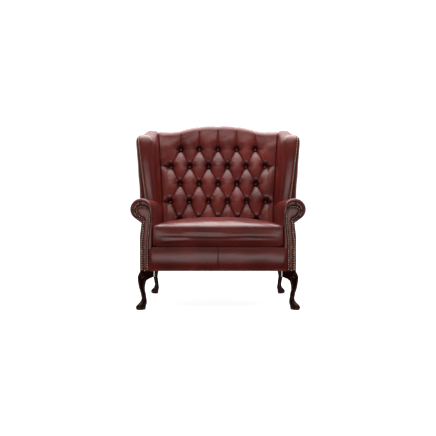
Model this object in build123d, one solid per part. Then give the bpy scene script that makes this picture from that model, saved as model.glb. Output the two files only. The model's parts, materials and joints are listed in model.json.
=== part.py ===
from build123d import *
import os
from math import acos, atan2, cos, pi, radians, sin, sqrt, tan

# A high-backed wing loveseat in buttoned leather, on four carved cabriole legs.
# Millimetres, +Z up. X runs across the seat, and the sitter faces -Y.
# While the pieces are made, Y is the depth behind the front plane of the arms.
# At the end the whole seat is moved along Y so that the origin lies on the floor,
# under the middle of its outer box. Left and right are as seen from the front.
# Side pieces are made on the right, where X is positive, and mirrored.

# Overall sizes
ARM_OUTER_HALF = 476.0
ARM_INNER_HALF = 356.0
ARM_TOP_Z = 603.0
FRAME_HALF = 424.0
FRAME_DEPTH = 622.0
FRAME_BOTTOM_Z = 209.0
DECK_Z = 339.6
CREST_Z = 1123.0
SADDLE_Z = 1079.0
SADDLE_X = 327.0
CREST_FLATNESS_SHARE = 1.6
CREST_STEPS = 24

# Raked back
BACK_RAKE_DEGREES = 13.5
BACK_FACE_Y = 496.0
BACK_T = 123.0
OUTSIDE_T = 8.0
PLEAT_DEPTH = 14.0
TUFT_RISE = 30.0
CREASE_TOP_HALF = 400.0
CREASE_TOP_Z = 1060.0
BACK_PAD_FOOT = 9.0
ROW_TOP_Z = 959.0
ROW_STEP_Z = 118.0
BUTTON_PITCH = 125.0
BUTTON_ROWS = 5
BUTTONS_IN_ROW = 5
BUTTON_D = 24.0
BUTTON_H = 9.0
BUTTON_EDGE_R = 6.0
BUTTON_SINK = 4.0
BUTTON_CLEAR = 0.5
PLEAT_GAP = 2.0
CREST_BAND_H = 62.0
CREST_FRONT_R = 44.0
CREST_REAR_R = 22.0
CREST_PROUD = 8.0
BAND_LAP = 30.0
PLEAT_W = 3.0
PLEAT_CUT = 4.0
TUFT_WIDTH_SHARES = (1.0, 0.93, 0.78, 0.52, 0.22)
TUFT_RISE_SHARES = (0.0, 0.42, 0.76, 0.95, 1.0)

# Timber
POST_W = 40.0
POST_D = 50.0
POST_OUT_GAP = 12.0
POST_TOP_Z = 1056.0
POST_HEAD_INSET = 8.0
RAIL_H = 109.0
RAIL_T = 32.0
RAIL_SETBACK = 14.0
CENTRE_RAIL_H = 55.0
CENTRE_RAIL_DROP = 38.0
TOP_RAIL_T = 32.0
TOP_RAIL_H = 95.0
TOP_RAIL_COVER = 24.0
LOWER_BACK_RAIL_H = 60.0
LOWER_BACK_RAIL_Z = 400.0
ARM_RAIL_W = 40.0
ARM_RAIL_H = 40.0
ARM_RAIL_INSET = 40.0
ARM_RAIL_DROP = 63.0
TUCK_RAIL_W = 24.0
TUCK_RAIL_H = 25.0
TUCK_RAIL_RISE = 27.0
WING_BOARD_T = 20.0
WING_BOARD_COVER = 4.0
WING_BOARD_INSET = 12.0
BLOCK_LEG = 70.0
BLOCK_H = 40.0
BLOCK_RISE = 6.0

# Webbing and platform
WEB_W = 50.0
WEB_T = 2.0
WEB_END_LAP = 22.0
SEAT_WEB_COUNT = 9
SEAT_CROSS_WEB_COUNT = 5
BACK_WEB_COUNT = 5
BACK_CROSS_WEB_COUNT = 4
WEB_SPREAD_SHARE = 0.86
BORDER_LIP_D = 40.0

# Arms
ARM_REAR_R = 45.0
ARM_JOIN_Z = 468.0
ARM_JOIN_NOTCH = 10.0
ARM_PAD_T = 30.0
ARM_PAD_FOOT = 9.0
ARM_END_R = 13.0
FACING_T = 8.0
FACING_EDGE_R = 3.0
FACING_OUTLINE_SHARES = (
    (0.171, 0.0), (0.171, 0.120), (0.171, 0.231), (0.146, 0.444), (0.1125, 0.563), (0.0875, 0.629),
    (0.071, 0.703), (0.071, 0.789), (0.129, 0.8325), (0.25, 0.888), (0.35, 0.900), (0.5375, 0.899),
    (0.658, 0.891), (0.742, 0.860), (0.754, 0.822), (0.708, 0.784), (0.642, 0.754), (0.542, 0.726),
    (0.4125, 0.690), (0.4375, 0.655), (0.446, 0.563), (0.496, 0.454), (0.504, 0.231), (0.504, 0.120),
    (0.504, 0.0),
)

# Wings
WING_FRONT_Y = 405.0
WING_FOOT_HALF = 446.0
WING_HEAD_HALF = 497.0
WING_HEAD_Z = 1000.0
WING_TAIL_HALF = 468.0
WING_TAIL_Z = 1092.0
WING_OUTLINE_SHARES = (
    (0.03, -0.129), (-0.0075, 0.239), (-0.0075, 0.5256), (0.0075, 0.7096), (0.05, 0.8057),
    (0.1375, 0.8487), (0.25, 0.8589), (0.3875, 0.8855), (0.5875, 0.9427), (0.8125, 1.0),
)
WING_BACKWARD_SHARES = (1.0, 1.0, 1.0, 1.0, 0.7, 0.3, 0.0, 0.0, 0.0, 0.0)
WING_DOWNWARD_SHARES = (0.0, 0.0, 0.0, 0.3, 0.8, 1.0, 1.0, 1.0, 1.0, 0.6)
WING_ROLL = 45.0
WING_PAD_ACROSS_SHARES = (0.0, 0.3, 0.6, 0.85, 1.0)
WING_PAD_INSET_SHARES = (-0.18, -0.31, -0.18, 0.27, 1.0)
WING_BULGE = 28.0
WING_BULGE_ACROSS_SHARES = (0.0, 0.62, 1.0)
WING_BULGE_INSET_SHARES = (0.05, 0.22, 1.0)

# Seat cushion
CUSHION_HALF = 351.0
CUSHION_REAR_NARROWING = 6.0
CUSHION_CLEAR = 0.5
CUSHION_EDGE_H = 112.0
CUSHION_CROWN = 48.0
CUSHION_BACK_GAP = 2.0
CUSHION_SEAM_R = 8.0
CUSHION_DEPTH_SHARES = (0.0, 0.018, 0.12, 0.32, 0.55, 0.80, 0.96, 1.0)
CUSHION_INSET_SHARES = (1.0, 0.0, 0.25, 0.6, 0.6, 0.3, 0.0, 1.0)
CUSHION_EDGE_SHARES = (0.0, 0.0, 0.06, 0.10, 0.12, 0.10, 0.0, 0.0)
CUSHION_CROWN_SHARES = (0.0, 0.06, 0.50, 0.92, 1.0, 0.78, 0.30, 0.14)
CROWN_ACROSS_SHARES = (0.94, 0.855, 0.727, 0.46, 0.0)
CROWN_RISE_SHARES = (0.20, 0.44, 0.70, 0.92, 1.0)

# Front border
BORDER_TOP_Z = 336.0
BORDER_BULGE = 7.0
BORDER_TOP_SETBACK = 2.0
BORDER_BULGE_HEIGHT_SHARE = 0.5
BORDER_SEAM_W = 2.0
BORDER_SEAM_DEPTH = 2.0

# Legs
ANKLE_X = 403.5
FRONT_ANKLE_Y = 28.0
ANKLE_R = 14.5
LEG_HEIGHT_SHARES = (0.0, 0.035, 0.09, 0.14, 0.205, 0.262, 0.33, 0.45, 0.57, 0.67, 0.79, 0.91, 1.0)
LEG_LEAN = 17.09
LEG_LEAN_SHARES = (1.15, 1.24, 1.15, 0.72, 0.14, 0.0, 0.12, 0.46, 0.82, 0.85, 0.83, 0.40, 0.10)
LEG_LENGTH_SHARES = (1.80, 2.05, 2.12, 1.92, 1.27, 1.0, 0.97, 1.03, 1.20, 1.45, 1.68, 1.72, 1.60)
LEG_BREADTH_SHARES = (1.30, 1.45, 1.46, 1.28, 1.20, 1.0, 0.97, 0.99, 1.14, 1.45, 1.75, 1.80, 1.65)
LEG_HEAD_W = 42.0
LEG_HEAD_H = 26.0
LEG_HEAD_INSET = 2.0
LEG_HEAD_R = 6.0
EAR_REACH = 56.0
EAR_T = 26.0
EAR_TIP_H = 33.0
EAR_FOOT_H = 70.0
EAR_SETBACK = 6.0
EAR_CURVE_SHARE = 0.36
BOLT_D = 8.0
BOLT_DOWN = 30.0
BOLT_UP = 45.0

# Bottom cloth
DUST_COVER_T = 1.5
DUST_COVER_MARGIN = 6.0

OVERRUN = 60.0

# Values worked out from the sizes above
ROLL_R = (ARM_OUTER_HALF - ARM_INNER_HALF) / 2
ROLL_Z = ARM_TOP_Z - ROLL_R
RAKE = tan(radians(BACK_RAKE_DEGREES))
RAKE_COS = cos(radians(BACK_RAKE_DEGREES))
RAKE_SIN = sin(radians(BACK_RAKE_DEGREES))
RAIL_TOP_Z = FRAME_BOTTOM_Z + RAIL_H
POST_OUT = FRAME_HALF - POST_OUT_GAP
POST_IN = POST_OUT - POST_W
POST_REAR_Y = FRAME_DEPTH - OUTSIDE_T
POST_FRONT_Y = POST_REAR_Y - POST_D
REAR_ANKLE_Y = FRAME_DEPTH - FRONT_ANKLE_Y
POST_REAR_N = OUTSIDE_T - BACK_T
POST_FRONT_N = POST_REAR_N + POST_D
PAD_REAR_N = POST_FRONT_N + 2 * WEB_T
ARM_RAIL_Z = ARM_TOP_Z - ARM_RAIL_DROP
ARM_RAIL_IN = ARM_INNER_HALF + ARM_RAIL_INSET
ARM_RAIL_OUT = ARM_RAIL_IN + ARM_RAIL_W
LOW_Z = FRAME_BOTTOM_Z - OVERRUN
HIGH_Z = CREST_Z + OVERRUN
WIDE = ARM_OUTER_HALF + OVERRUN
DEEP = FRAME_DEPTH + BACK_T + OVERRUN


def back_y(z, n):
    """Depth of the raked back at height z, n in front of its face."""
    return BACK_FACE_Y + (z - DECK_Z) * RAKE - n / RAKE_COS


def kink_z(y, n):
    """Height where the raked plane n in front of the face meets depth y."""
    return DECK_Z + (y - BACK_FACE_Y + n / RAKE_COS) / RAKE


def crest_z(x):
    """Height of the camel-backed top edge at x."""
    across = abs(x)
    if across < SADDLE_X:
        wave = (1 + cos(pi * (across / SADDLE_X) ** CREST_FLATNESS_SHARE)) / 2
        return SADDLE_Z + (CREST_Z - SADDLE_Z) * wave
    climb = (across - SADDLE_X) / (WING_TAIL_HALF - SADDLE_X)
    return SADDLE_Z + (WING_TAIL_Z - SADDLE_Z) * climb ** 2


def crease_x(z):
    """Half-width of the inside back at height z, where it meets the wings."""
    climb = max(z - ROLL_Z, 0) / (CREASE_TOP_Z - ROLL_Z)
    return ARM_INNER_HALF + (CREASE_TOP_HALF - ARM_INNER_HALF) * climb


def wing_x(y, z):
    """Half-width of the nailed plane of the wing at depth y and height z."""
    flare = (WING_HEAD_HALF - WING_FOOT_HALF) / (WING_HEAD_Z - ARM_TOP_Z)
    tail_y = back_y(WING_TAIL_Z, -BACK_T)
    head = WING_FOOT_HALF + flare * (WING_TAIL_Z - ARM_TOP_Z)
    toe_in = (head - WING_TAIL_HALF) / (tail_y - WING_FRONT_Y)
    return WING_FOOT_HALF + flare * (z - ARM_TOP_Z) - toe_in * (y - WING_FRONT_Y)


def block(x_pair, y_pair, z_pair):
    """A straight block between two places on each axis."""
    pairs = (x_pair, y_pair, z_pair)
    middle = [(low + high) / 2 for low, high in pairs]
    return Pos(*middle) * Box(*[high - low for low, high in pairs])


def side_prism(points, x_from, x_to):
    """A prism along X with its outline in depth and height."""
    outline = Polyline(*[(x_from, y, z) for y, z in points], close=True)
    return extrude(make_face(outline), x_to - x_from, dir=(1, 0, 0))


def front_prism(edges, depth):
    """A prism along Y from an outline of edges that lies at depth zero."""
    return extrude(make_face(edges), depth, dir=(0, 1, 0))


def front_outline(points):
    """The closed outline through points in width and height, at depth zero."""
    return Polyline(*[(x, 0, z) for x, z in points], close=True)


def back_plane():
    """The face of the back: X across, Y up the slope, Z out to the front."""
    return Plane(origin=(0, BACK_FACE_Y, DECK_Z), x_dir=(1, 0, 0), z_dir=(0, -RAKE_COS, RAKE_SIN))


def up_slope(z, n=0):
    """Distance up the slope of the back for height z, n in front of its face."""
    return (z - DECK_Z - n * RAKE_SIN) / RAKE_COS


def behind_back(n, z_low):
    """All that lies in front of the plane n of the back, as one large block."""
    upright = FRAME_DEPTH - n - BACK_T
    corner_z = kink_z(upright, n)
    points = [(-OVERRUN, z_low), (upright, z_low), (upright, corner_z)]
    points += [(back_y(HIGH_Z, n), HIGH_Z), (-OVERRUN, HIGH_Z)]
    return side_prism(points, -WIDE, WIDE)


def cut(piece, *others):
    """The piece with the other pieces taken out of it, as one part."""
    for other in others:
        piece = piece - other
    return piece


def lofted(wires, ruled):
    """A solid through a row of closed outlines, as a part."""
    return Part(Compound([Solid.make_loft(wires, ruled)]).wrapped)


def largest(piece):
    """The main solid of a piece, without the offcuts that its cuts leave."""
    return Part(Compound([piece.solids().sort_by(SortBy.VOLUME)[-1]]).wrapped)


def skin_slot(piece, middle_x, width, inward_y, down_z):
    """A narrow slot in the outer skin of a piece that runs along X, as deep as it is moved."""
    slice_of = piece & block((middle_x - width / 2, middle_x + width / 2), (-DEEP, DEEP), (LOW_Z, HIGH_Z))
    return slice_of - Pos(0, inward_y, -down_z) * slice_of


def post_inner_x(z):
    """Half-width between the back posts at height z."""
    head = wing_x(back_y(POST_TOP_Z, POST_REAR_N), POST_TOP_Z) - POST_HEAD_INSET - POST_W
    climb = max(z - ROLL_Z, 0) / (POST_TOP_Z - ROLL_Z)
    return POST_IN + (head - POST_IN) * climb


def crest_edges(half, drop, z_low):
    """A front outline with straight sides and the camel top, lowered by drop."""
    places = [-half + 2 * half * step / CREST_STEPS for step in range(CREST_STEPS + 1)]
    top = Spline(*[(x, 0, crest_z(x) - drop) for x in places])
    rest = Polyline((half, 0, crest_z(half) - drop), (half, 0, z_low), (-half, 0, z_low),
                    (-half, 0, crest_z(half) - drop))
    return [top, rest]


# Timber frame


def front_post():
    """The right front post, on the leg and under the arm rail."""
    depth = (FACING_T, FACING_T + POST_D)
    return block((POST_IN, POST_OUT), depth, (FRAME_BOTTOM_Z, ARM_RAIL_Z - ARM_RAIL_H))


def back_post():
    """The right back post, upright to the seat and then raked and flared."""
    rear_kink = kink_z(POST_REAR_Y, POST_REAR_N)
    front_kink = kink_z(POST_FRONT_Y, POST_FRONT_N)
    side = [(POST_FRONT_Y, FRAME_BOTTOM_Z), (POST_REAR_Y, FRAME_BOTTOM_Z), (POST_REAR_Y, rear_kink)]
    side += [(back_y(POST_TOP_Z, POST_REAR_N), POST_TOP_Z)]
    side += [(back_y(POST_TOP_Z, POST_FRONT_N), POST_TOP_Z), (POST_FRONT_Y, front_kink)]
    head = wing_x(back_y(POST_TOP_Z, POST_REAR_N), POST_TOP_Z) - POST_HEAD_INSET
    front = [(POST_IN, LOW_Z), (POST_OUT, LOW_Z), (POST_OUT, ROLL_Z), (head, POST_TOP_Z)]
    front += [(head - POST_W, POST_TOP_Z), (POST_IN, ROLL_Z)]
    return side_prism(side, 0, WIDE) & front_prism(front_outline(front), DEEP)


def front_rail():
    """The front seat rail, between the front posts."""
    return block((-POST_IN, POST_IN), (RAIL_SETBACK, RAIL_SETBACK + RAIL_T), (FRAME_BOTTOM_Z, RAIL_TOP_Z))


def rear_rail():
    """The rear seat rail, between the back posts."""
    return block((-POST_IN, POST_IN), (POST_REAR_Y - RAIL_T, POST_REAR_Y), (FRAME_BOTTOM_Z, RAIL_TOP_Z))


def side_rail():
    """The right side seat rail, from the front post to the back post."""
    depth = (FACING_T + POST_D, POST_FRONT_Y)
    return block((POST_OUT - RAIL_T, POST_OUT), depth, (FRAME_BOTTOM_Z, RAIL_TOP_Z))


def centre_seat_rail():
    """The cross member under the middle of the webbing."""
    top = RAIL_TOP_Z - CENTRE_RAIL_DROP
    depth = (RAIL_SETBACK + RAIL_T, POST_REAR_Y - RAIL_T)
    return block((-RAIL_T / 2, RAIL_T / 2), depth, (top - CENTRE_RAIL_H, top))


def corner_blocks():
    """Four glued corner blocks inside the seat frame."""
    low = FRAME_BOTTOM_Z + BLOCK_RISE
    side_in = POST_IN
    front_y = RAIL_SETBACK + RAIL_T
    rear_y = POST_REAR_Y - RAIL_T
    blocks = []
    for y, turn in ((front_y, 1), (rear_y, -1)):
        tip_y = y + turn * BLOCK_LEG
        corner = Polyline((side_in, y, low), (side_in - BLOCK_LEG, y, low), (side_in, tip_y, low), close=True)
        piece = extrude(make_face(corner), BLOCK_H, dir=(0, 0, 1))
        blocks += [piece, mirror(piece, about=Plane.YZ)]
    return Compound(blocks)


def top_rail():
    """The camel-shaped top rail of the back, between the back posts."""
    high = front_prism(crest_edges(WIDE, TOP_RAIL_COVER, SADDLE_Z - TOP_RAIL_H), DEEP)
    low, top = SADDLE_Z - TOP_RAIL_H - OVERRUN, HIGH_Z
    rear_n = POST_REAR_N + (POST_D - TOP_RAIL_T)
    layer = [(back_y(low, POST_FRONT_N), low), (back_y(low, POST_FRONT_N - TOP_RAIL_T), low)]
    layer += [(back_y(top, rear_n), top), (back_y(top, POST_FRONT_N), top)]
    half = post_inner_x(POST_TOP_Z)
    rail = side_prism(layer, -half, half) & high
    post = back_post()
    return cut(rail, post, mirror(post, about=Plane.YZ))


def lower_back_rail():
    """The tuck rail of the back, above the seat."""
    low, top = LOWER_BACK_RAIL_Z, LOWER_BACK_RAIL_Z + LOWER_BACK_RAIL_H
    layer = [(back_y(low, POST_FRONT_N), low), (back_y(low, POST_FRONT_N - TOP_RAIL_T), low)]
    layer += [(back_y(top, POST_FRONT_N - TOP_RAIL_T), top), (back_y(top, POST_FRONT_N), top)]
    return side_prism(layer, -POST_IN, POST_IN)


def arm_rail():
    """The right arm rail, inside the roll, from the front post to the back."""
    rail = block((ARM_RAIL_IN, ARM_RAIL_OUT), (FACING_T, FRAME_DEPTH), (ARM_RAIL_Z - ARM_RAIL_H, ARM_RAIL_Z))
    return cut(rail & behind_back(POST_REAR_N, LOW_Z), back_post())


def tuck_rail():
    """The right tuck rail, low between the posts, that closes the inside arm."""
    low = RAIL_TOP_Z + TUCK_RAIL_RISE
    inner = ARM_INNER_HALF + ARM_PAD_T
    depth = (FACING_T + POST_D, POST_FRONT_Y)
    return block((inner, inner + TUCK_RAIL_W), depth, (low, low + TUCK_RAIL_H))


def wing_wire(across, inset, offset=0.0):
    """The side outline of the wing, at a share of the way from the nailed plane to the crease."""
    depth = back_y(WING_TAIL_Z, -BACK_T) - WING_FRONT_Y
    height = WING_TAIL_Z - ARM_TOP_Z

    def place(y, z):
        nailed = wing_x(y, z) - offset
        crease = ARM_INNER_HALF + (CREASE_TOP_HALF - ARM_INNER_HALF) * (z - ROLL_Z) / (CREASE_TOP_Z - ROLL_Z)
        return (nailed + (crease - nailed) * across, y, z)

    points = []
    rows = zip(WING_OUTLINE_SHARES, WING_BACKWARD_SHARES, WING_DOWNWARD_SHARES)
    for (y_share, z_share), backward, downward in rows:
        y = WING_FRONT_Y + y_share * depth + backward * inset
        z = ARM_TOP_Z + z_share * height - downward * inset
        points.append((y, z) if points else (y, ARM_RAIL_Z))
    tail_z = points[-1][1] - WING_BOARD_COVER
    rear = [(back_y(tail_z, POST_REAR_N), tail_z)]
    low_z = points[0][1]
    rear += [(back_y(low_z, POST_REAR_N), low_z)]
    curve = Spline(*[place(y, z) for y, z in points])
    rest = Polyline(place(*points[-1]), place(*rear[0]), place(*rear[1]), place(*points[0]))
    return Wire(curve.edges() + rest.edges())


def wing_board():
    """The right wing board, standing on the arm rail in front of the back post."""
    outer = wing_wire(0.0, WING_BOARD_INSET, WING_BOARD_COVER)
    inner = wing_wire(0.0, WING_BOARD_INSET, WING_BOARD_COVER + WING_BOARD_T)
    board = lofted([outer, inner], True)
    return cut(board, back_post(), back_webbing())


# Upholstery


def arm_wire(y, radius, edge_inset=0.0):
    """The end outline of the arm at depth y, round a roll of the given radius."""
    inner = ARM_INNER_HALF + edge_inset
    low = DECK_Z - ARM_PAD_FOOT
    centre_x = ARM_INNER_HALF + radius
    centre_z = ARM_TOP_Z - radius
    roll = radius - edge_inset
    join = (FRAME_HALF - ARM_JOIN_NOTCH - edge_inset, ARM_JOIN_Z)
    reach = sqrt((join[0] - centre_x) ** 2 + (join[1] - centre_z) ** 2)
    angle = atan2(join[1] - centre_z, join[0] - centre_x) + acos(roll / reach)

    def on_roll(turn):
        return (centre_x + roll * cos(turn), y, centre_z + roll * sin(turn))

    slab_out = ARM_INNER_HALF + ARM_PAD_T
    upright = Line((inner, y, low), (inner, y, centre_z))
    over = ThreePointArc((inner, y, centre_z), on_roll(pi / 2), on_roll(0))
    under = ThreePointArc(on_roll(0), on_roll(angle / 2), on_roll(angle))
    rest = Polyline(on_roll(angle), (join[0], y, join[1]), (slab_out, y, join[1]), (slab_out, y, low),
                    (inner, y, low))
    return Wire(upright.edges() + over.edges() + under.edges() + rest.edges())


def arm_form():
    """The full outer form of the right arm, tapering towards the back, with a rounded front end."""
    front_y = FACING_T
    rear_y = back_y(ARM_TOP_Z, POST_REAR_N)
    start_y = front_y + ARM_END_R
    slope = (ARM_REAR_R - ROLL_R) / (rear_y - front_y)
    start = arm_wire(start_y, ROLL_R + slope * ARM_END_R)
    body = lofted([start, arm_wire(rear_y, ARM_REAR_R)], True)
    half_way = ARM_END_R * (1 - sin(pi / 4))
    middle = arm_wire(front_y + half_way, ROLL_R, half_way)
    front = arm_wire(front_y, ROLL_R, ARM_END_R * (1 - cos(pi / 4)) + half_way)
    nose = lofted([front, middle, start], True)
    return (body + nose) & behind_back(POST_REAR_N, LOW_Z)


def arm_pad():
    """The right arm's padded roll and inside face, round the timber."""
    timber = (front_post(), back_post(), arm_rail(), tuck_rail(), wing_board(), lower_back_rail())
    return largest(cut(arm_form(), *timber, back_webbing(), back_pad_form()))


def arm_facing():
    """The right arm's front facing, a covered board with a scrolled head."""
    width = ARM_OUTER_HALF - ARM_INNER_HALF
    height = ARM_TOP_Z - FRAME_BOTTOM_Z
    points = [(ARM_INNER_HALF + x * width, 0, FRAME_BOTTOM_Z + z * height) for x, z in FACING_OUTLINE_SHARES]
    curve = Spline(*points)
    foot = Line(points[-1], points[0])
    board = front_prism(curve.edges() + foot.edges(), FACING_T)
    front_edges = board.edges().group_by(Axis.Y)[0].sort_by(SortBy.LENGTH)[-1:]
    return fillet(front_edges, FACING_EDGE_R)


def wing_pad():
    """The right wing's inside pad, rolled over its front and top edges."""
    sections = []
    for across, inset in zip(WING_PAD_ACROSS_SHARES, WING_PAD_INSET_SHARES):
        sections.append(wing_wire(across, inset * WING_ROLL))
    pad = lofted(sections, False)
    pad = cut(pad, arm_form(), wing_board(), back_post(), top_rail(), back_webbing(), back_pad_form())
    return largest(pad)


def outside_wing():
    """The right wing's padded outside panel, swelling between its edges."""
    sections = []
    for across, inset in zip(WING_BULGE_ACROSS_SHARES, WING_BULGE_INSET_SHARES):
        sections.append(wing_wire(0.0, inset * WING_ROLL, -across * WING_BULGE))
    panel = lofted(sections, False)
    return largest(cut(panel, arm_form(), back_post()))


def outside_arm():
    """The right outside arm panel, under the roll from the facing to the back."""
    panel = block((POST_OUT, FRAME_HALF), (FACING_T, DEEP), (FRAME_BOTTOM_Z, ARM_JOIN_Z))
    return panel & behind_back(POST_REAR_N, LOW_Z)


def outside_back():
    """The outside back panel, upright below and raked above, with the camel top."""
    rear_kink = kink_z(FRAME_DEPTH, -BACK_T)
    front_kink = kink_z(POST_REAR_Y, POST_REAR_N)
    side = [(POST_REAR_Y, FRAME_BOTTOM_Z), (FRAME_DEPTH, FRAME_BOTTOM_Z), (FRAME_DEPTH, rear_kink)]
    side += [(back_y(HIGH_Z, -BACK_T), HIGH_Z), (back_y(HIGH_Z, POST_REAR_N), HIGH_Z)]
    side += [(POST_REAR_Y, front_kink)]
    sheet = side_prism(side, -WIDE, WIDE)
    tall = front_prism(crest_edges(WIDE, CREST_REAR_R, LOW_Z), DEEP)
    head = wing_x(back_y(WING_TAIL_Z, -BACK_T), WING_TAIL_Z)
    foot = wing_x(back_y(ARM_TOP_Z, -BACK_T), ARM_TOP_Z)
    right = [(FRAME_HALF, LOW_Z), (FRAME_HALF, ARM_JOIN_Z), (max(foot, FRAME_HALF), ARM_TOP_Z)]
    right += [(head, WING_TAIL_Z), (head, HIGH_Z)]
    left = [(-x, z) for x, z in reversed(right)]
    return sheet & tall & front_prism(front_outline(right + left), DEEP)


def tuft_cells():
    """The cells of the buttoning, as corner points in width and height, with the point each shrinks to."""
    rows = [ROW_TOP_Z - ROW_STEP_Z * row for row in range(BUTTON_ROWS)]
    half = BUTTON_PITCH / 2
    low = DECK_Z + PLEAT_GAP + PLEAT_DEPTH * RAKE_SIN
    high = SADDLE_Z - CREST_BAND_H
    inset = PLEAT_DEPTH * RAKE
    cells = []
    for row, centres in ((1, (-4, -2, 0, 2, 4)), (2, (-3, -1, 1, 3)), (3, (-4, -2, 0, 2, 4))):
        for step in centres:
            x = step * half
            corners = [(x, rows[row - 1]), (x + half, rows[row]), (x, rows[row + 1]), (x - half, rows[row])]
            cells.append((corners, (x, rows[row])))
    for step in (-3, -1, 1, 3):
        x = step * half
        corners = [(x - half, high), (x + half, high), (x + half, rows[0]), (x, rows[1]), (x - half, rows[0])]
        cells.append((corners, (x, high)))
        corners = [(x - half, low), (x - half, rows[4]), (x, rows[3]), (x + half, rows[4]), (x + half, low)]
        cells.append((corners, (x, low)))
    for side in (-1, 1):
        edge = [side * (crease_x(z - inset) - PLEAT_GAP) for z in (high, rows[1], rows[3], low)]
        last, wide = side * 4 * half, side * 5 * half
        corners = [(last, high), (edge[0], high), (edge[1], rows[1]), (wide, rows[1]), (last, rows[0])]
        cells.append((corners, ((last + edge[0]) / 2, high)))
        corners = [(wide, rows[1]), (edge[1], rows[1]), (edge[2], rows[3]), (wide, rows[3]), (last, rows[2])]
        cells.append((corners, ((wide + edge[2]) / 2, rows[2])))
        corners = [(wide, rows[3]), (edge[2], rows[3]), (edge[3], low), (last, low), (last, rows[4])]
        cells.append((corners, ((last + edge[3]) / 2, low)))
    return cells


def tuft(corners, peak):
    """One padded cell: a many-sided dome that rises from the pleats round it."""
    plane = back_plane()
    reach = min(sqrt((x - peak[0]) ** 2 + (z - peak[1]) ** 2) for x, z in corners)
    start = 1 - PLEAT_GAP / reach
    wires = []
    for width, rise in zip(TUFT_WIDTH_SHARES, TUFT_RISE_SHARES):
        n = rise * TUFT_RISE - PLEAT_DEPTH
        share = width * start
        ring = [(peak[0] + (x - peak[0]) * share, peak[1] + (z - peak[1]) * share) for x, z in corners]
        points = [plane.from_local_coords(Vector(x, up_slope(z), n)) for x, z in ring]
        wires.append(Wire.make_polygon(points, close=True))
    return lofted(wires, True)


def button_places():
    """Width and height of each button, five and six to a row in turn."""
    places = []
    for row in range(BUTTON_ROWS):
        count = BUTTONS_IN_ROW + row % 2
        for index in range(count):
            places.append(((index - (count - 1) / 2) * BUTTON_PITCH, ROW_TOP_Z - ROW_STEP_Z * row))
    return places


def button_seat_plane(x, z):
    """The plane at the bottom of one button's dimple."""
    plane = back_plane()
    origin = plane.from_local_coords(Vector(x, up_slope(z), -PLEAT_DEPTH - BUTTON_SINK))
    return Plane(origin=origin, x_dir=plane.x_dir, z_dir=plane.z_dir)


def back_pad_form():
    """The inside back without its tufts: a raked slab under a rolled camel crest."""
    low = DECK_Z - BACK_PAD_FOOT
    half_top = crease_x(HIGH_Z)
    sides = [(ARM_INNER_HALF, LOW_Z), (ARM_INNER_HALF, ROLL_Z), (half_top, HIGH_Z)]
    width = front_prism(front_outline(sides + [(-x, z) for x, z in reversed(sides)]), DEEP)
    high = front_prism(crest_edges(WIDE, 0, low), DEEP)
    slab = [(back_y(low, -PLEAT_DEPTH), low), (back_y(low, PAD_REAR_N), low)]
    slab += [(back_y(HIGH_Z, PAD_REAR_N), HIGH_Z), (back_y(HIGH_Z, -PLEAT_DEPTH), HIGH_Z)]
    band_z = SADDLE_Z - CREST_BAND_H
    band = [(back_y(band_z, CREST_PROUD), band_z), (back_y(band_z, POST_REAR_N), band_z)]
    band += [(back_y(HIGH_Z, POST_REAR_N), HIGH_Z), (back_y(HIGH_Z, CREST_PROUD), HIGH_Z)]
    camel = front_prism(crest_edges(CREASE_TOP_HALF + OVERRUN, 0, band_z), DEEP)
    crest = side_prism(band, -WIDE, WIDE) & camel
    long_edges = crest.edges().filter_by(lambda edge: edge.length > 2 * CREASE_TOP_HALF)
    crest = fillet(long_edges.sort_by(Axis.Z)[-2:].sort_by(Axis.Y)[0], CREST_FRONT_R)
    long_edges = crest.edges().filter_by(lambda edge: edge.length > 2 * CREASE_TOP_HALF)
    crest = fillet(long_edges.sort_by(Axis.Y)[-1], CREST_REAR_R)
    below = block((-WIDE, WIDE), (0, DEEP), (low, band_z + BAND_LAP))
    slab_body = side_prism(slab, -WIDE, WIDE) & below
    return (slab_body + crest) & width & high


def back_pad():
    """The deep-buttoned inside back, with its tufts, pleats and button dimples."""
    form = back_pad_form()
    pad = form
    for corners, peak in tuft_cells():
        pad = pad + tuft(corners, peak)
    above_rows = block((-WIDE, WIDE), (-DEEP, DEEP), (SADDLE_Z - CREST_BAND_H, HIGH_Z))
    for step in range(-2, 3):
        pad = pad - (skin_slot(form, step * BUTTON_PITCH, PLEAT_W, PLEAT_CUT, PLEAT_CUT) & above_rows)
    radius = BUTTON_D / 2 + BUTTON_CLEAR
    for x, z in button_places():
        hole = Pos(0, 0, OVERRUN / 2) * Cylinder(radius, OVERRUN)
        pad = pad - button_seat_plane(x, z) * hole
    return cut(pad, top_rail())


def back_buttons():
    """The covered buttons, each a short drum with a domed edge."""
    drum = Pos(0, 0, BUTTON_H / 2) * Cylinder(BUTTON_D / 2, BUTTON_H)
    button = fillet(drum.edges().sort_by(Axis.Z)[-1], BUTTON_EDGE_R)
    return Compound([button_seat_plane(x, z) * button for x, z in button_places()])


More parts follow.
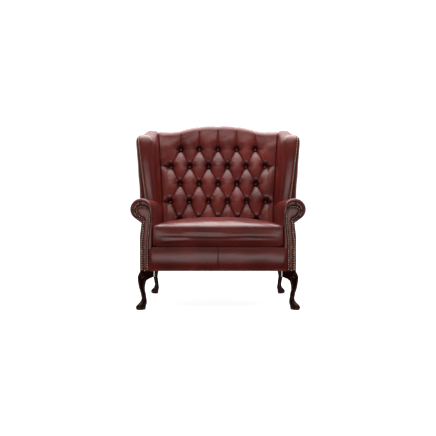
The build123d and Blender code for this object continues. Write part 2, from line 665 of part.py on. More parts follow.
def cushion_wire(depth, inset, edge_share, crown_share, at_end):
    """A cross outline of the cushion at a share of its depth, leaning back with the back rest."""
    low = DECK_Z + CUSHION_CLEAR
    rear_y = back_y(low, TUFT_RISE - PLEAT_DEPTH) - CUSHION_BACK_GAP
    half = CUSHION_HALF - CUSHION_REAR_NARROWING * depth - inset
    edge_z = low + CUSHION_EDGE_H + edge_share * CUSHION_CROWN
    rise = (crown_share - edge_share) * CUSHION_CROWN
    lean = RAKE * depth

    def place(x, z):
        return (x, rear_y * depth + (z - low) * lean, z)

    foot = low + inset if at_end else low
    brow = edge_z - inset if at_end else edge_z
    crown = [(half * x, brow + rise * lift) for x, lift in zip(CROWN_ACROSS_SHARES, CROWN_RISE_SHARES)]
    right = [(half, brow)] + crown
    top = Spline(*[place(x, z) for x, z in right + [(-x, z) for x, z in reversed(right[:-1])]])
    rest = Polyline(place(-half, brow), place(-half, foot), place(half, foot), place(half, brow))
    return Wire(top.edges() + rest.edges())


def seat_cushion():
    """The loose seat cushion, boxed and crowned, its sides drawn in between the corners."""
    wires = []
    for depth, inset, edge, crown in zip(CUSHION_DEPTH_SHARES, CUSHION_INSET_SHARES, CUSHION_EDGE_SHARES,
                                         CUSHION_CROWN_SHARES):
        wires.append(cushion_wire(depth, inset * CUSHION_SEAM_R, edge, crown, depth in (0, 1)))
    return lofted(wires[1:-1], False) + lofted(wires[:2], True) + lofted(wires[-2:], True)


def front_border():
    """The padded front border, with its middle seam and a lip over the rail."""
    height = BORDER_TOP_Z - FRAME_BOTTOM_Z
    swell_z = FRAME_BOTTOM_Z + BORDER_BULGE_HEIGHT_SHARE * height
    half = FRAME_HALF
    curve = ThreePointArc((-half, BORDER_TOP_SETBACK, FRAME_BOTTOM_Z), (-half, -BORDER_BULGE, swell_z),
                          (-half, BORDER_TOP_SETBACK, BORDER_TOP_Z))
    lip_z = RAIL_TOP_Z + 2 * WEB_T
    rest = Polyline((-half, BORDER_TOP_SETBACK, BORDER_TOP_Z), (-half, BORDER_LIP_D, BORDER_TOP_Z),
                    (-half, BORDER_LIP_D, lip_z), (-half, RAIL_SETBACK, lip_z),
                    (-half, RAIL_SETBACK, FRAME_BOTTOM_Z), (-half, BORDER_TOP_SETBACK, FRAME_BOTTOM_Z))
    border = extrude(make_face(curve.edges() + rest.edges()), 2 * half, dir=(1, 0, 0))
    seam = skin_slot(border, 0, BORDER_SEAM_W, BORDER_SEAM_DEPTH, 0)
    facing, post = arm_facing(), front_post()
    inside = ARM_INNER_HALF + FACING_OUTLINE_SHARES[0][0] * (ARM_OUTER_HALF - ARM_INNER_HALF)
    border = border & block((-inside, inside), (-OVERRUN, DEEP), (LOW_Z, HIGH_Z))
    arm = arm_form()
    others = [facing, post, arm]
    others += [mirror(other, about=Plane.YZ) for other in others]
    return cut(border - seam, *others)


def seat_deck():
    """The padded platform that carries the cushion."""
    low = RAIL_TOP_Z + 2 * WEB_T
    rear_y = back_y(low, -PLEAT_DEPTH)
    deck = block((-ARM_INNER_HALF, ARM_INNER_HALF), (BORDER_LIP_D, rear_y), (low, DECK_Z))
    post = front_post()
    return cut(deck, post, mirror(post, about=Plane.YZ), back_pad_form())


def seat_webbing():
    """Elastic webbing from rail to rail, two crossing layers."""
    straps = []
    span = 2 * POST_IN * WEB_SPREAD_SHARE
    for index in range(SEAT_WEB_COUNT):
        x = -span / 2 + span * index / (SEAT_WEB_COUNT - 1)
        y_pair = (RAIL_SETBACK + RAIL_T - WEB_END_LAP, POST_REAR_Y - RAIL_T + WEB_END_LAP)
        straps.append(block((x - WEB_W / 2, x + WEB_W / 2), y_pair, (RAIL_TOP_Z, RAIL_TOP_Z + WEB_T)))
    reach = POST_FRONT_Y - FACING_T - POST_D - WEB_W
    for index in range(SEAT_CROSS_WEB_COUNT):
        y = FACING_T + POST_D + WEB_W + reach * WEB_SPREAD_SHARE * index / (SEAT_CROSS_WEB_COUNT - 1)
        x_reach = POST_OUT - RAIL_T + WEB_END_LAP
        straps.append(block((-x_reach, x_reach), (y - WEB_W / 2, y + WEB_W / 2),
                            (RAIL_TOP_Z + WEB_T, RAIL_TOP_Z + 2 * WEB_T)))
    return Compound(straps)


def back_webbing():
    """Webbing across the open back, two crossing layers on the front of the rails."""
    plane = back_plane()
    low = up_slope(LOWER_BACK_RAIL_Z) + WEB_END_LAP
    high = up_slope(SADDLE_Z - TOP_RAIL_H) + WEB_END_LAP
    straps = []
    span = 2 * POST_IN * WEB_SPREAD_SHARE
    for index in range(BACK_WEB_COUNT):
        x = -span / 2 + span * index / (BACK_WEB_COUNT - 1)
        strap = Pos(x, (low + high) / 2, POST_FRONT_N + WEB_T / 2) * Box(WEB_W, high - low, WEB_T)
        straps.append(plane * strap)
    rise = (high - low - 2 * WEB_W) / (BACK_CROSS_WEB_COUNT - 1)
    for index in range(BACK_CROSS_WEB_COUNT):
        s = low + WEB_W + rise * index
        reach = post_inner_x(DECK_Z + s * RAKE_COS) + WEB_END_LAP
        strap = Pos(0, s, POST_FRONT_N + WEB_T + WEB_T / 2) * Box(2 * reach, WEB_W, WEB_T)
        straps.append(plane * strap)
    return Compound(straps)


# Legs


def leg_form():
    """The right front leg: a cabriole that leans out along its diagonal to a slipper foot, with two ears."""
    lean_x, lean_y = cos(pi / 4), -sin(pi / 4)
    wires = []
    shares = zip(LEG_HEIGHT_SHARES, LEG_LEAN_SHARES, LEG_LENGTH_SHARES, LEG_BREADTH_SHARES)
    for height, out, length, breadth in shares:
        shift = out * LEG_LEAN
        centre = (ANKLE_X + shift * lean_x, FRONT_ANKLE_Y + shift * lean_y, height * FRAME_BOTTOM_Z)
        plane = Plane(origin=centre, x_dir=(lean_x, lean_y, 0), z_dir=(0, 0, 1))
        wires.append(Wire.make_ellipse(length * ANKLE_R, breadth * ANKLE_R, plane))
    shaft = lofted(wires, False)
    outer_x = FRAME_HALF - LEG_HEAD_INSET
    head_low = FRAME_BOTTOM_Z - LEG_HEAD_H
    head = block((outer_x - LEG_HEAD_W, outer_x), (LEG_HEAD_INSET, LEG_HEAD_INSET + LEG_HEAD_W),
                 (head_low, FRAME_BOTTOM_Z))
    head = fillet(head.edges().filter_by(Axis.Z), LEG_HEAD_R)
    front_ear = leg_ear()
    side_ear = Pos(outer_x, LEG_HEAD_INSET, 0) * Rot(0, 0, 90) * mirror(
        Pos(-outer_x, -LEG_HEAD_INSET, 0) * front_ear, about=Plane.YZ)
    return shaft + head + front_ear + side_ear


def leg_ear():
    """The scrolled bracket beside the knee, under the front border."""
    outer_x = FRAME_HALF - LEG_HEAD_INSET
    root_x = ANKLE_X
    tip_x = ANKLE_X - EAR_REACH
    foot_z = FRAME_BOTTOM_Z - EAR_FOOT_H
    tip_z = FRAME_BOTTOM_Z - EAR_TIP_H
    y = EAR_SETBACK
    hollow = EAR_REACH * EAR_CURVE_SHARE / 2
    bow = ((root_x + tip_x - hollow) / 2, y, (foot_z + tip_z) / 2 + hollow)
    curve = ThreePointArc((root_x, y, foot_z), bow, (tip_x, y, tip_z))
    rest = Polyline((tip_x, y, tip_z), (tip_x, y, FRAME_BOTTOM_Z), (outer_x - LEG_HEAD_R, y, FRAME_BOTTOM_Z),
                    (outer_x - LEG_HEAD_R, y, FRAME_BOTTOM_Z - LEG_HEAD_H), (root_x, y, foot_z))
    ear = extrude(make_face(curve.edges() + rest.edges()), EAR_T, dir=(0, 1, 0))
    return ear


def leg_bolt():
    """The right front leg's hanger bolt, through the top of the leg into the post."""
    x = POST_OUT - POST_W / 2
    y = FACING_T + POST_D / 2
    low, high = FRAME_BOTTOM_Z - BOLT_DOWN, FRAME_BOTTOM_Z + BOLT_UP
    return Pos(x, y, (low + high) / 2) * Cylinder(BOLT_D / 2, high - low)


def dust_cover():
    """The thin cloth under the seat frame, cut away round the legs."""
    half = POST_OUT - DUST_COVER_MARGIN
    y_pair = (RAIL_SETBACK + DUST_COVER_MARGIN, POST_REAR_Y - DUST_COVER_MARGIN)
    z_pair = (FRAME_BOTTOM_Z - DUST_COVER_T, FRAME_BOTTOM_Z)
    cloth = block((-half, half), y_pair, z_pair)
    notch_x = ANKLE_X - EAR_REACH - DUST_COVER_MARGIN
    notch_y = FRAME_HALF - notch_x
    front = block((notch_x, WIDE), (-OVERRUN, notch_y), z_pair)
    rear = rear_mirror(front)
    return cut(cloth, front, rear, mirror(front, about=Plane.YZ), mirror(rear, about=Plane.YZ))


def rear_mirror(piece):
    """The piece mirrored from the front legs' place to the rear legs'."""
    return mirror(piece, about=Plane.XZ.offset(-(FRONT_ANKLE_Y + REAR_ANKLE_Y) / 2))


def legs_in_place():
    """The four legs by name, each with its bolt hole."""
    right = leg_form() - leg_bolt()
    rear = rear_mirror(right)
    return {
        "front_right_leg": right,
        "front_left_leg": mirror(right, about=Plane.YZ),
        "rear_right_leg": rear,
        "rear_left_leg": mirror(rear, about=Plane.YZ),
    }


def leg_bolts():
    """The four hanger bolts."""
    front = leg_bolt()
    rear = rear_mirror(front)
    return Compound([front, mirror(front, about=Plane.YZ), rear, mirror(rear, about=Plane.YZ)])


def main():
    """Makes every piece, sets the origin and writes one file for each."""
    bolt = leg_bolt()
    rear_bolt = rear_mirror(bolt)
    sides = {
        "front_post": front_post() - bolt,
        "back_post": back_post() - rear_bolt,
        "side_rail": side_rail(),
        "arm_rail": arm_rail(),
        "tuck_rail": tuck_rail(),
        "wing_board": wing_board(),
        "arm_pad": arm_pad(),
        "arm_facing": arm_facing(),
        "wing_pad": wing_pad(),
        "outside_wing": outside_wing(),
        "outside_arm": outside_arm(),
    }
    pieces = {
        "front_rail": front_rail(),
        "rear_rail": rear_rail(),
        "centre_seat_rail": centre_seat_rail(),
        "corner_blocks": corner_blocks(),
        "top_rail": top_rail(),
        "lower_back_rail": lower_back_rail(),
        "seat_webbing": seat_webbing(),
        "back_webbing": back_webbing(),
        "seat_deck": seat_deck(),
        "seat_cushion": seat_cushion(),
        "back_pad": back_pad(),
        "back_buttons": back_buttons(),
        "outside_back": outside_back(),
        "front_border": front_border(),
        "leg_bolts": leg_bolts(),
        "dust_cover": dust_cover(),
    }
    pieces.update(legs_in_place())
    for name, piece in sides.items():
        pieces["right_" + name] = piece
        pieces["left_" + name] = mirror(piece, about=Plane.YZ)
    boxes = [piece.bounding_box() for piece in pieces.values()]
    middle_y = (min(box.min.Y for box in boxes) + max(box.max.Y for box in boxes)) / 2
    os.makedirs("parts", exist_ok=True)
    for name, piece in pieces.items():
        export_step(Pos(0, -middle_y, 0) * piece, "parts/" + name + ".step")
    print("front plane of the arms at Y", round(-middle_y, 3))


main()
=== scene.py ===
"""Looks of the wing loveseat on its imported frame: buttoned leather, nails, cushion and polished legs."""
import json
import logging
import math
from dataclasses import dataclass, field
from enum import Enum

import bpy
import numpy as np
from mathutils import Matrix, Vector


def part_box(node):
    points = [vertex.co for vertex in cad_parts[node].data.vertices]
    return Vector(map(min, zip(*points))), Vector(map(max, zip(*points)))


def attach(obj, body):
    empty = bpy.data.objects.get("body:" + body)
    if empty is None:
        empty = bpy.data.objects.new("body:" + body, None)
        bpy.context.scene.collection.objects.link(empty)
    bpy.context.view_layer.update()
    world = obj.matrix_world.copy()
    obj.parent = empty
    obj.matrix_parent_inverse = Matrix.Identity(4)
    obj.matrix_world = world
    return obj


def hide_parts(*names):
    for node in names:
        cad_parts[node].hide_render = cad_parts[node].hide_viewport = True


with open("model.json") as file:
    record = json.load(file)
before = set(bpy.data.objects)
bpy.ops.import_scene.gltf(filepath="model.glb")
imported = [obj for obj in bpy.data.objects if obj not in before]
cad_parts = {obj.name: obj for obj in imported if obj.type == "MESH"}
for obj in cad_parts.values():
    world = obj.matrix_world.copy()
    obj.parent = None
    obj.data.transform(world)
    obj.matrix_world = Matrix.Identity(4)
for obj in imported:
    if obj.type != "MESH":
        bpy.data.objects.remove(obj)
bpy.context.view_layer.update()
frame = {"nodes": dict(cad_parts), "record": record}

LOG = logging.getLogger("loveseat")
MM = 0.001
FAR = 1e9
WHITE = (1.0, 1.0, 1.0)
Array = np.ndarray
Triple = tuple[float, float, float]
Socket = bpy.types.NodeSocket
Inputs = dict[str | int, object]


class Side(Enum):
    """The two sides of the seat, as seen from the front."""

    LEFT = -1
    RIGHT = 1

    def named(self, piece: str) -> str:
        """The name of a node or piece on this side."""
        return f"{self.name.lower()}_{piece}"


class EdgeKind(Enum):
    """What bounds a padded cell of the buttoned back."""

    PLEAT = "pleat"
    OPEN = "open"


class Body(Enum):
    """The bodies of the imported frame."""

    FRAME = "frame"
    CUSHION = "cushion"


class Slot(Enum):
    """The material slots of the record."""

    LEATHER = "leather"
    BUTTON = "button_leather"
    BRASS = "nail_brass"
    MAHOGANY = "leg_mahogany"
    TIMBER = "frame_timber"
    WEBBING = "webbing"
    PLATFORM = "platform_cloth"
    BOTTOM = "bottom_cloth"
    STEEL = "bolt_steel"


def smooth(low: float, high: float, value: Array) -> Array:
    """A smooth step.

    Args:
        low: Where the step starts.
        high: Where it ends.
        value: The places to work it out at.

    Returns:
        0 before low, 1 after high and a smooth rise between.
    """
    share = np.clip((value - low) / (high - low), 0.0, 1.0)
    return share * share * (3.0 - 2.0 * share)


def mix(first: Array, second: Array, share: Array) -> Array:
    """The blend of two values, the first at share 0 and the second at share 1."""
    return first + (second - first) * share


def bell(value: Array, width: float, power: float = 2) -> Array:
    """A soft hump: 1 where the value is 0, falling away over the width."""
    return np.exp(-(value / width) ** power)


def round_edge(gap: Array, radius: float) -> Array:
    """A quarter-round edge: 0 where the gap from the edge is 0, and 1 from the radius inward."""
    return np.sqrt(np.maximum(1 - (1 - np.clip(gap / radius, 0, 1)) ** 2, 0))


def xyz(*parts: Array | float) -> Array:
    """Points from their widths, depths and heights, or from two of these."""
    return np.stack(np.broadcast_arrays(*parts), axis=-1)


def ripple(points: Array, length: float, seed: int) -> Array:
    """A smooth irregular wave over space, the same on every run.

    Args:
        points: Places, in millimetres, the last axis holding x, y and z.
        length: Rough distance between crests, in millimetres.
        seed: Picks one of the patterns.

    Returns:
        Values from about -1 to 1.
    """
    random = np.random.default_rng(seed)
    total = np.zeros(points.shape[:-1])
    for _ in range(7):
        way = random.normal(size=3)
        way *= 2 * math.pi / (length * np.linalg.norm(way)) * random.uniform(0.6, 1.5)
        total += np.sin(points @ way + random.uniform(0, 2 * math.pi))
    return total / 3.2


def cubic(values: Array, knots: Array, places: Array) -> Array:
    """A smooth curve through a row of points.

    Args:
        values: The points, one to a row.
        knots: The curve's parameter at each point.
        places: The parameters to read the curve at.

    Returns:
        One point for each place.
    """
    step = np.diff(knots)
    count = len(knots)
    matrix = np.eye(count)
    right = np.zeros_like(values)
    slope = np.diff(values, axis=0) / step[:, None]
    for row in range(1, count - 1):
        matrix[row, row - 1:row + 2] = (step[row - 1], 2 * (step[row - 1] + step[row]), step[row])
        right[row] = 6 * (slope[row] - slope[row - 1])
    bend = np.linalg.solve(matrix, right)
    index = np.clip(np.searchsorted(knots, places, side="right") - 1, 0, count - 2)
    width = step[index][:, None]
    after = (places - knots[index])[:, None]
    before = width - after
    curve = bend[index] * before ** 3 + bend[index + 1] * after ** 3
    line = (values[index] / width - bend[index] * width / 6) * before
    line += (values[index + 1] / width - bend[index + 1] * width / 6) * after
    return curve / (6 * width) + line


def chords(points: Array) -> Array:
    """Distance along a row of points, from the first to each."""
    gaps = np.linalg.norm(np.diff(points, axis=0), axis=1)
    return np.concatenate([[0.0], np.cumsum(gaps)])


def read_at(points: Array, along: Array, places: Array) -> Array:
    """A line of points read at other distances along it.

    Args:
        points: The points, one to a row.
        along: The distance of each.
        places: The distances to read at.

    Returns:
        One point for each place.
    """
    return np.stack([np.interp(places, along, column) for column in points.T], axis=1)


def evenly(points: Array, count: int) -> Array:
    """The same line with that many evenly spaced points."""
    along = chords(points)
    return read_at(points, along, np.linspace(0, along[-1], count))


def smooth_line(points: Array, count: int) -> Array:
    """Evenly spaced points on a smooth curve through a few."""
    knots = chords(points)
    return evenly(cubic(points, knots, np.linspace(0, knots[-1], 60 * len(points))), count)


def to_line(places: Array, line: Array) -> Array:
    """Distance from places to a line of points in the same plane.

    Args:
        places: Places, the last axis holding two numbers.
        line: The line's points, one to a row.

    Returns:
        The least distance of each place.
    """
    flat = places.reshape(-1, 2)
    best = np.full(len(flat), np.inf)
    for start, end in zip(line[:-1], line[1:]):
        way = end - start
        size = way @ way
        if size < 1e-9:
            continue
        share = np.clip(((flat - start) @ way) / size, 0, 1)
        best = np.minimum(best, np.hypot(*(flat - (start + share[:, None] * way)).T))
    return best.reshape(places.shape[:-1])


def between(first: Array, second: Array, count: int) -> Array:
    """Points from one line across to another, closer together near both."""
    share = (1 - np.cos(np.linspace(0, np.pi, count))) / 2
    return first[:, None] + (second - first)[:, None] * share[None, :, None]


def quads(rows: int, cols: int, closed: bool) -> Array:
    """The faces of a grid of points.

    Args:
        rows: Its rows.
        cols: Its columns.
        closed: Whether the last column joins the first.

    Returns:
        Four indices for each face.
    """
    index = np.arange(rows * cols).reshape(rows, cols)
    if closed:
        index = np.concatenate([index, index[:, :1]], axis=1)
    corners = (index[:-1, :-1], index[:-1, 1:], index[1:, 1:], index[1:, :-1])
    return np.stack([corner.ravel() for corner in corners], axis=1)


def placed(name: str, data: bpy.types.ID) -> bpy.types.Object:
    """A new object in the scene that holds the data.

    Args:
        name: Its name.
        data: Its mesh, light or camera.

    Returns:
        The object.
    """
    item = bpy.data.objects.new(name, data)
    bpy.context.scene.collection.objects.link(item)
    return item


@dataclass(frozen=True)
class SeatForm:
    """Main sizes and curves of the seat, in millimetres, with Y as the depth behind the arms' front plane."""

    front_y: float
    arm_inner: float = 356.0
    arm_outer: float = 476.0
    arm_top: float = 603.0
    roll_rear: float = 45.0
    join_x: float = 414.0
    join_z: float = 468.0
    frame_half: float = 424.0
    frame_low: float = 209.0
    frame_depth: float = 622.0
    deck_z: float = 339.6
    crest_high: float = 1123.0
    saddle_z: float = 1079.0
    saddle_x: float = 327.0
    rake: float = math.tan(math.radians(13.5))
    back_face: float = 496.0
    back_thick: float = 123.0
    crease_top: float = 400.0
    crease_top_z: float = 1060.0
    wing_front: float = 405.0
    wing_foot: float = 446.0
    wing_head: float = 497.0
    wing_head_z: float = 1000.0
    wing_tail: float = 468.0
    wing_tail_z: float = 1092.0
    wing_low: float = 540.0

    @property
    def roll(self) -> float:
        """Radius of the arm's roll at the front."""
        return (self.arm_outer - self.arm_inner) / 2

    @property
    def roll_z(self) -> float:
        """Height of the roll's middle at the front."""
        return self.arm_top - self.roll

    @property
    def lean_cos(self) -> float:
        """Cosine of the back's rake."""
        return 1 / math.hypot(1, self.rake)

    @property
    def lean_sin(self) -> float:
        """Sine of the back's rake."""
        return self.rake * self.lean_cos

    def back_y(self, z: Array, out: float) -> Array:
        """Depth of the raked back at height z, that far out in front of its face."""
        return self.back_face + (z - self.deck_z) * self.rake - out / self.lean_cos

    def rear_y(self, z: Array, inset: float) -> Array:
        """Depth of the seat's rear at height z, raked above and upright below, less an inset."""
        return np.maximum(self.back_y(z, inset - self.back_thick), self.frame_depth - inset)

    def crest_z(self, x: Array) -> Array:
        """Height of the camel-backed top edge at x.

        Args:
            x: The distance from the middle.

        Returns:
            The height.
        """
        across = np.abs(x)
        wave = (1 + np.cos(np.pi * np.minimum(across / self.saddle_x, 1) ** 1.6)) / 2
        climb = np.maximum(across - self.saddle_x, 0) / (self.wing_tail - self.saddle_x)
        rise = (self.crest_high - self.saddle_z) * wave
        return self.saddle_z + rise + (self.wing_tail_z - self.saddle_z) * climb ** 2

    def crease_x(self, z: Array) -> Array:
        """Half-width at height z where the inside back meets the wing, carried straight on below the arm's top.

        Args:
            z: The height.

        Returns:
            The half-width.
        """
        climb = (z - self.roll_z) / (self.crease_top_z - self.roll_z)
        return self.arm_inner + (self.crease_top - self.arm_inner) * climb

    def wing_x(self, y: Array, z: Array) -> Array:
        """Half-width of the nailed plane of the wing at depth y and height z.

        Args:
            y: The depth.
            z: The height.

        Returns:
            The half-width.
        """
        flare = (self.wing_head - self.wing_foot) / (self.wing_head_z - self.arm_top)
        tail_y = self.back_y(self.wing_tail_z, -self.back_thick)
        head = self.wing_foot + flare * (self.wing_tail_z - self.arm_top)
        toe_in = (head - self.wing_tail) / (tail_y - self.wing_front)
        return self.wing_foot + flare * (z - self.arm_top) - toe_in * (y - self.wing_front)

    def in_frame(self, points: Array) -> Array:
        """The points in the shared frame, in metres.

        Args:
            points: Points in the seat's own millimetres.

        Returns:
            The same in metres.
        """
        out = np.array(points, float) * MM
        out[..., 1] += self.front_y
        return out


@dataclass
class Skin:
    """One surface made of grids of points, in the seat's own millimetres."""

    name: str
    points: list[Array] = field(default_factory=list)
    fold_shades: list[Array] = field(default_factory=list)
    faces: list[Array] = field(default_factory=list)
    total: int = 0

    def add(self, grid: Array, fold: Array | float = 0.0, closed: bool = False) -> None:
        """Adds a grid whose outward side is rows up, columns to the right.

        Args:
            grid: Points by row and column.
            fold: How much painted shade each point gets, 0 to 1: in creases, seams and dimples, along nails and round
                the rims of nail and button heads.
            closed: Whether the last column joins the first.
        """
        rows, cols = grid.shape[:2]
        self.faces.append(quads(rows, cols, closed) + self.total)
        self.points.append(grid.reshape(-1, 3))
        self.fold_shades.append(np.broadcast_to(fold, grid.shape[:2]).ravel())
        self.total += rows * cols

    def build(self, form: SeatForm, finish: bpy.types.Material, side: Side) -> bpy.types.Object:
        """Makes the object.

        Args:
            form: The seat's form, which places it.
            finish: Its material.
            side: LEFT mirrors it.

        Returns:
            The new object.
        """
        points = np.concatenate(self.points) * (side.value, 1, 1)
        faces = np.concatenate(self.faces)[:, ::side.value]
        mesh = bpy.data.meshes.new(self.name)
        mesh.vertices.add(len(points))
        mesh.vertices.foreach_set("co", form.in_frame(points).astype(np.float32).ravel())
        mesh.loops.add(faces.size)
        mesh.loops.foreach_set("vertex_index", faces.astype(np.int32).ravel())
        mesh.polygons.add(len(faces))
        mesh.polygons.foreach_set("loop_start", np.arange(0, faces.size, 4, dtype=np.int32))
        mesh.polygons.foreach_set("use_smooth", np.ones(len(faces), dtype=bool))
        mesh.update(calc_edges=True)
        # The fold attribute carries painted shade: the finishes darken each point by it.
        layer = mesh.attributes.new("fold", "FLOAT", "POINT")
        layer.data.foreach_set("value", np.concatenate(self.fold_shades).astype(np.float32))
        mesh.materials.append(finish)
        LOG.info("%s: %d points", self.name, len(points))
        return placed(self.name, mesh)


@dataclass(frozen=True)
class ClothSettling:
    """A short cloth simulation: the leather, a little slack and pinned at its seams, swells under soft pressure."""

    pressure: float = 4.0
    slack: float = 0.001
    stretch: float = 18.0
    shear: float = 8.0
    bend: float = 12.0
    weight: float = 0.4
    frames: int = 20

    def moves(self, form: SeatForm, points: Array, held: Array) -> Array:
        """Runs the simulation.

        Args:
            form: The seat's form, which places the points.
            points: A closed grid of points in the seat's millimetres, its columns running round.
            held: Which of them stay where they are.

        Returns:
            How far each point moves, in millimetres.
        """
        rows, cols = points.shape[:2]
        mesh = bpy.data.meshes.new("fitting")
        mesh.from_pydata(form.in_frame(points.reshape(-1, 3)).tolist(), [], quads(rows, cols, True).tolist())
        fitting = placed("fitting", mesh)
        pins = fitting.vertex_groups.new(name="held")
        pins.add(np.flatnonzero(held.ravel()).tolist(), 1.0, "REPLACE")
        cloth = fitting.modifiers.new("cloth", "CLOTH")
        cloth.collision_settings.use_collision = False
        leather = cloth.settings
        leather.quality = 6
        leather.mass = self.weight
        leather.tension_stiffness = leather.compression_stiffness = self.stretch
        leather.shear_stiffness = self.shear
        leather.bending_stiffness = self.bend
        leather.use_pressure = True
        leather.uniform_pressure_force = self.pressure
        leather.vertex_group_mass = "held"
        leather.shrink_min = -self.slack
        leather.effector_weights.gravity = 0.0
        scene = bpy.context.scene
        for step in range(1, self.frames + 1):
            scene.frame_set(step)
        made = fitting.evaluated_get(bpy.context.evaluated_depsgraph_get()).to_mesh()
        places = np.empty(len(made.vertices) * 3, dtype=np.float32)
        made.vertices.foreach_get("co", places)
        moves = places.reshape(rows, cols, 3).astype(float) / MM - form.in_frame(points) / MM
        bpy.data.objects.remove(fitting)
        bpy.data.meshes.remove(mesh)
        scene.frame_set(1)
        LOG.info("cloth: moves up to %.1f mm", float(np.abs(moves).max()))
        return moves


class NodeTree:
    """A short way to write nodes: each call adds one and returns the socket that the next takes."""

    def __init__(self, holder: bpy.types.Material | bpy.types.World) -> None:
        """Takes hold of the nodes of a material or a world."""
        holder.use_nodes = True
        self.tree = holder.node_tree

    def fill(self, node: bpy.types.Node, inputs: Inputs) -> None:
        """Fills a node's inputs: a socket is linked, and anything else is set as the value.

        Args:
            node: The node.
            inputs: What goes into each input.
        """
        for name, value in inputs.items():
            if isinstance(value, Socket):
                self.tree.links.new(value, node.inputs[name])
            else:
                node.inputs[name].default_value = value

    def node(self, kind: str, out: str | int, inputs: Inputs, **settings: object) -> Socket:
        """Adds a node.

        Args:
            kind: Its type, without the prefix that all share.
            out: The output to return.
            inputs: What goes into each input, a socket or a value.
            settings: The node's own settings.

        Returns:
            The output socket.
        """
        node = self.tree.nodes.new("ShaderNode" + kind)
        for name, value in settings.items():
            setattr(node, name, value)
        self.fill(node, inputs)
        return node.outputs[out]


class FinishTree(NodeTree):
    """The nodes of one material, in the object's own coordinates."""

    def __init__(self, name: str) -> None:
        """Makes a material of that name with a plain shader.

        Args:
            name: The material's name.
        """
        self.material = bpy.data.materials.new(name)
        super().__init__(self.material)
        self.tree.nodes.clear()
        shader = self.node("BsdfPrincipled", "BSDF", {})
        self.shader = shader.node
        self.fill(self.tree.nodes.new("ShaderNodeOutputMaterial"), {"Surface": shader})
        self.place = self.node("TexCoord", "Object", {})

    def noise(self, scale: float, detail: float = 3.0, place: Socket | None = None) -> Socket:
        """A noise with that many features to the metre, in plain or in given coordinates."""
        return self.node("TexNoise", "Fac", {"Scale": scale, "Detail": detail, "Vector": place or self.place})

    def stretched(self, scale: Triple) -> Socket:
        """The object's coordinates stretched by a factor along each axis."""
        return self.node("Mapping", "Vector", {"Vector": self.place, "Scale": scale})

    def ramp(self, value: Socket, *stops: tuple[float, Triple]) -> Socket:
        """A colour ramp.

        Args:
            value: What picks the colour.
            stops: Positions and colours, two or more.

        Returns:
            The colour.
        """
        colour = self.node("ValToRGB", "Color", {"Fac": value})
        bar = colour.node.color_ramp
        for element, (position, shade) in zip(bar.elements, (stops[0], stops[-1])):
            element.position = position
            element.color = (*shade, 1.0)
        for position, shade in stops[1:-1]:
            bar.elements.new(position).color = (*shade, 1.0)
        return colour

    def darkened(self, share: float, first: Socket, second: Socket) -> Socket:
        """The first colour multiplied by a share of the second."""
        inputs = {0: share, 6: first, 7: second}
        return self.node("Mix", 2, inputs, data_type="RGBA", blend_type="MULTIPLY")

    def span(self, value: Socket, low: float, high: float) -> Socket:
        """A value spread from 0..1 to low..high."""
        return self.node("MapRange", "Result", {"Value": value, "To Min": low, "To Max": high})

    def bump(self, value: Socket, height: float, strength: float, under: Socket | None = None) -> Socket:
        """A bump.

        Args:
            value: Its height, 0 to 1.
            height: The full height in metres.
            strength: How strong it is.
            under: Another bump that this one lies on.

        Returns:
            The normal.
        """
        inputs = {"Height": value, "Distance": height, "Strength": strength}
        return self.node("Bump", "Normal", inputs | ({"Normal": under} if under else {}))

    def fold(self) -> Socket:
        """How much painted shade each point gets, from the fold attribute."""
        return self.node("Attribute", "Fac", {}, attribute_name="fold")

    def shade(self, colour: Socket, rough: Socket | float, normal: Socket | None, more: Inputs) -> bpy.types.Material:
        """Fills the shader.

        Args:
            colour: The base colour.
            rough: The roughness.
            normal: The bumps, or None for a smooth surface.
            more: The shader's other inputs.

        Returns:
            The finished material.
        """
        self.fill(self.shader, {"Base Color": colour, "Roughness": rough} | more)
        if normal:
            self.fill(self.shader, {"Normal": normal})
        return self.material


@dataclass(frozen=True)
class LeatherFinish:
    """Antiqued leather: mottled dye, painted shade that darkens it in creases, seams, dimples and along nails, fine
    grain and a soft waxed gloss.
    """

    deep: Triple = (0.066, 0.0056, 0.0042)
    body: Triple = (0.088, 0.0078, 0.0056)
    rubbed: Triple = (0.116, 0.0124, 0.0088)
    gloss: float = 0.29
    grain: float = 0.00022
    wax: float = 0.30

    def material(self, name: str) -> bpy.types.Material:
        """Makes the material under that name.

        Args:
            name: The material's name.

        Returns:
            The material.
        """
        tree = FinishTree(name)
        dye = tree.ramp(tree.noise(7.0, 4.0), (0.30, self.deep), (0.48, self.body), (0.72, self.rubbed))
        mottle = tree.noise(70.0, 5.0)
        dyed = tree.darkened(0.7, dye, tree.ramp(mottle, (0.30, (0.80, 0.77, 0.77)), (0.60, WHITE)))
        # Painted shade: where the fold attribute is high the dye is darkened, at most to about a tenth.
        fold_shaded = tree.darkened(1.0, dyed, tree.ramp(tree.fold(), (0.0, WHITE), (1.0, (0.13, 0.08, 0.08))))
        rough = tree.span(mottle, self.gloss - 0.02, self.gloss + 0.04)
        pebble = tree.node("TexVoronoi", "Distance", {"Scale": 620.0, "Vector": tree.place},
                           feature="DISTANCE_TO_EDGE")
        pores = tree.bump(pebble, self.grain, 0.55)
        fine = tree.bump(tree.noise(1500.0, 2.0), self.grain * 0.5, 0.4, pores)
        creased = tree.bump(tree.noise(38.0, 6.0), 0.0007, 0.07, fine)
        return tree.shade(fold_shaded, rough, creased, {
            "Specular IOR Level": self.wax, "Specular Tint": (1.0, 0.92, 0.90, 1.0),
            "Coat Weight": 0.05, "Coat Roughness": 0.20,
        })


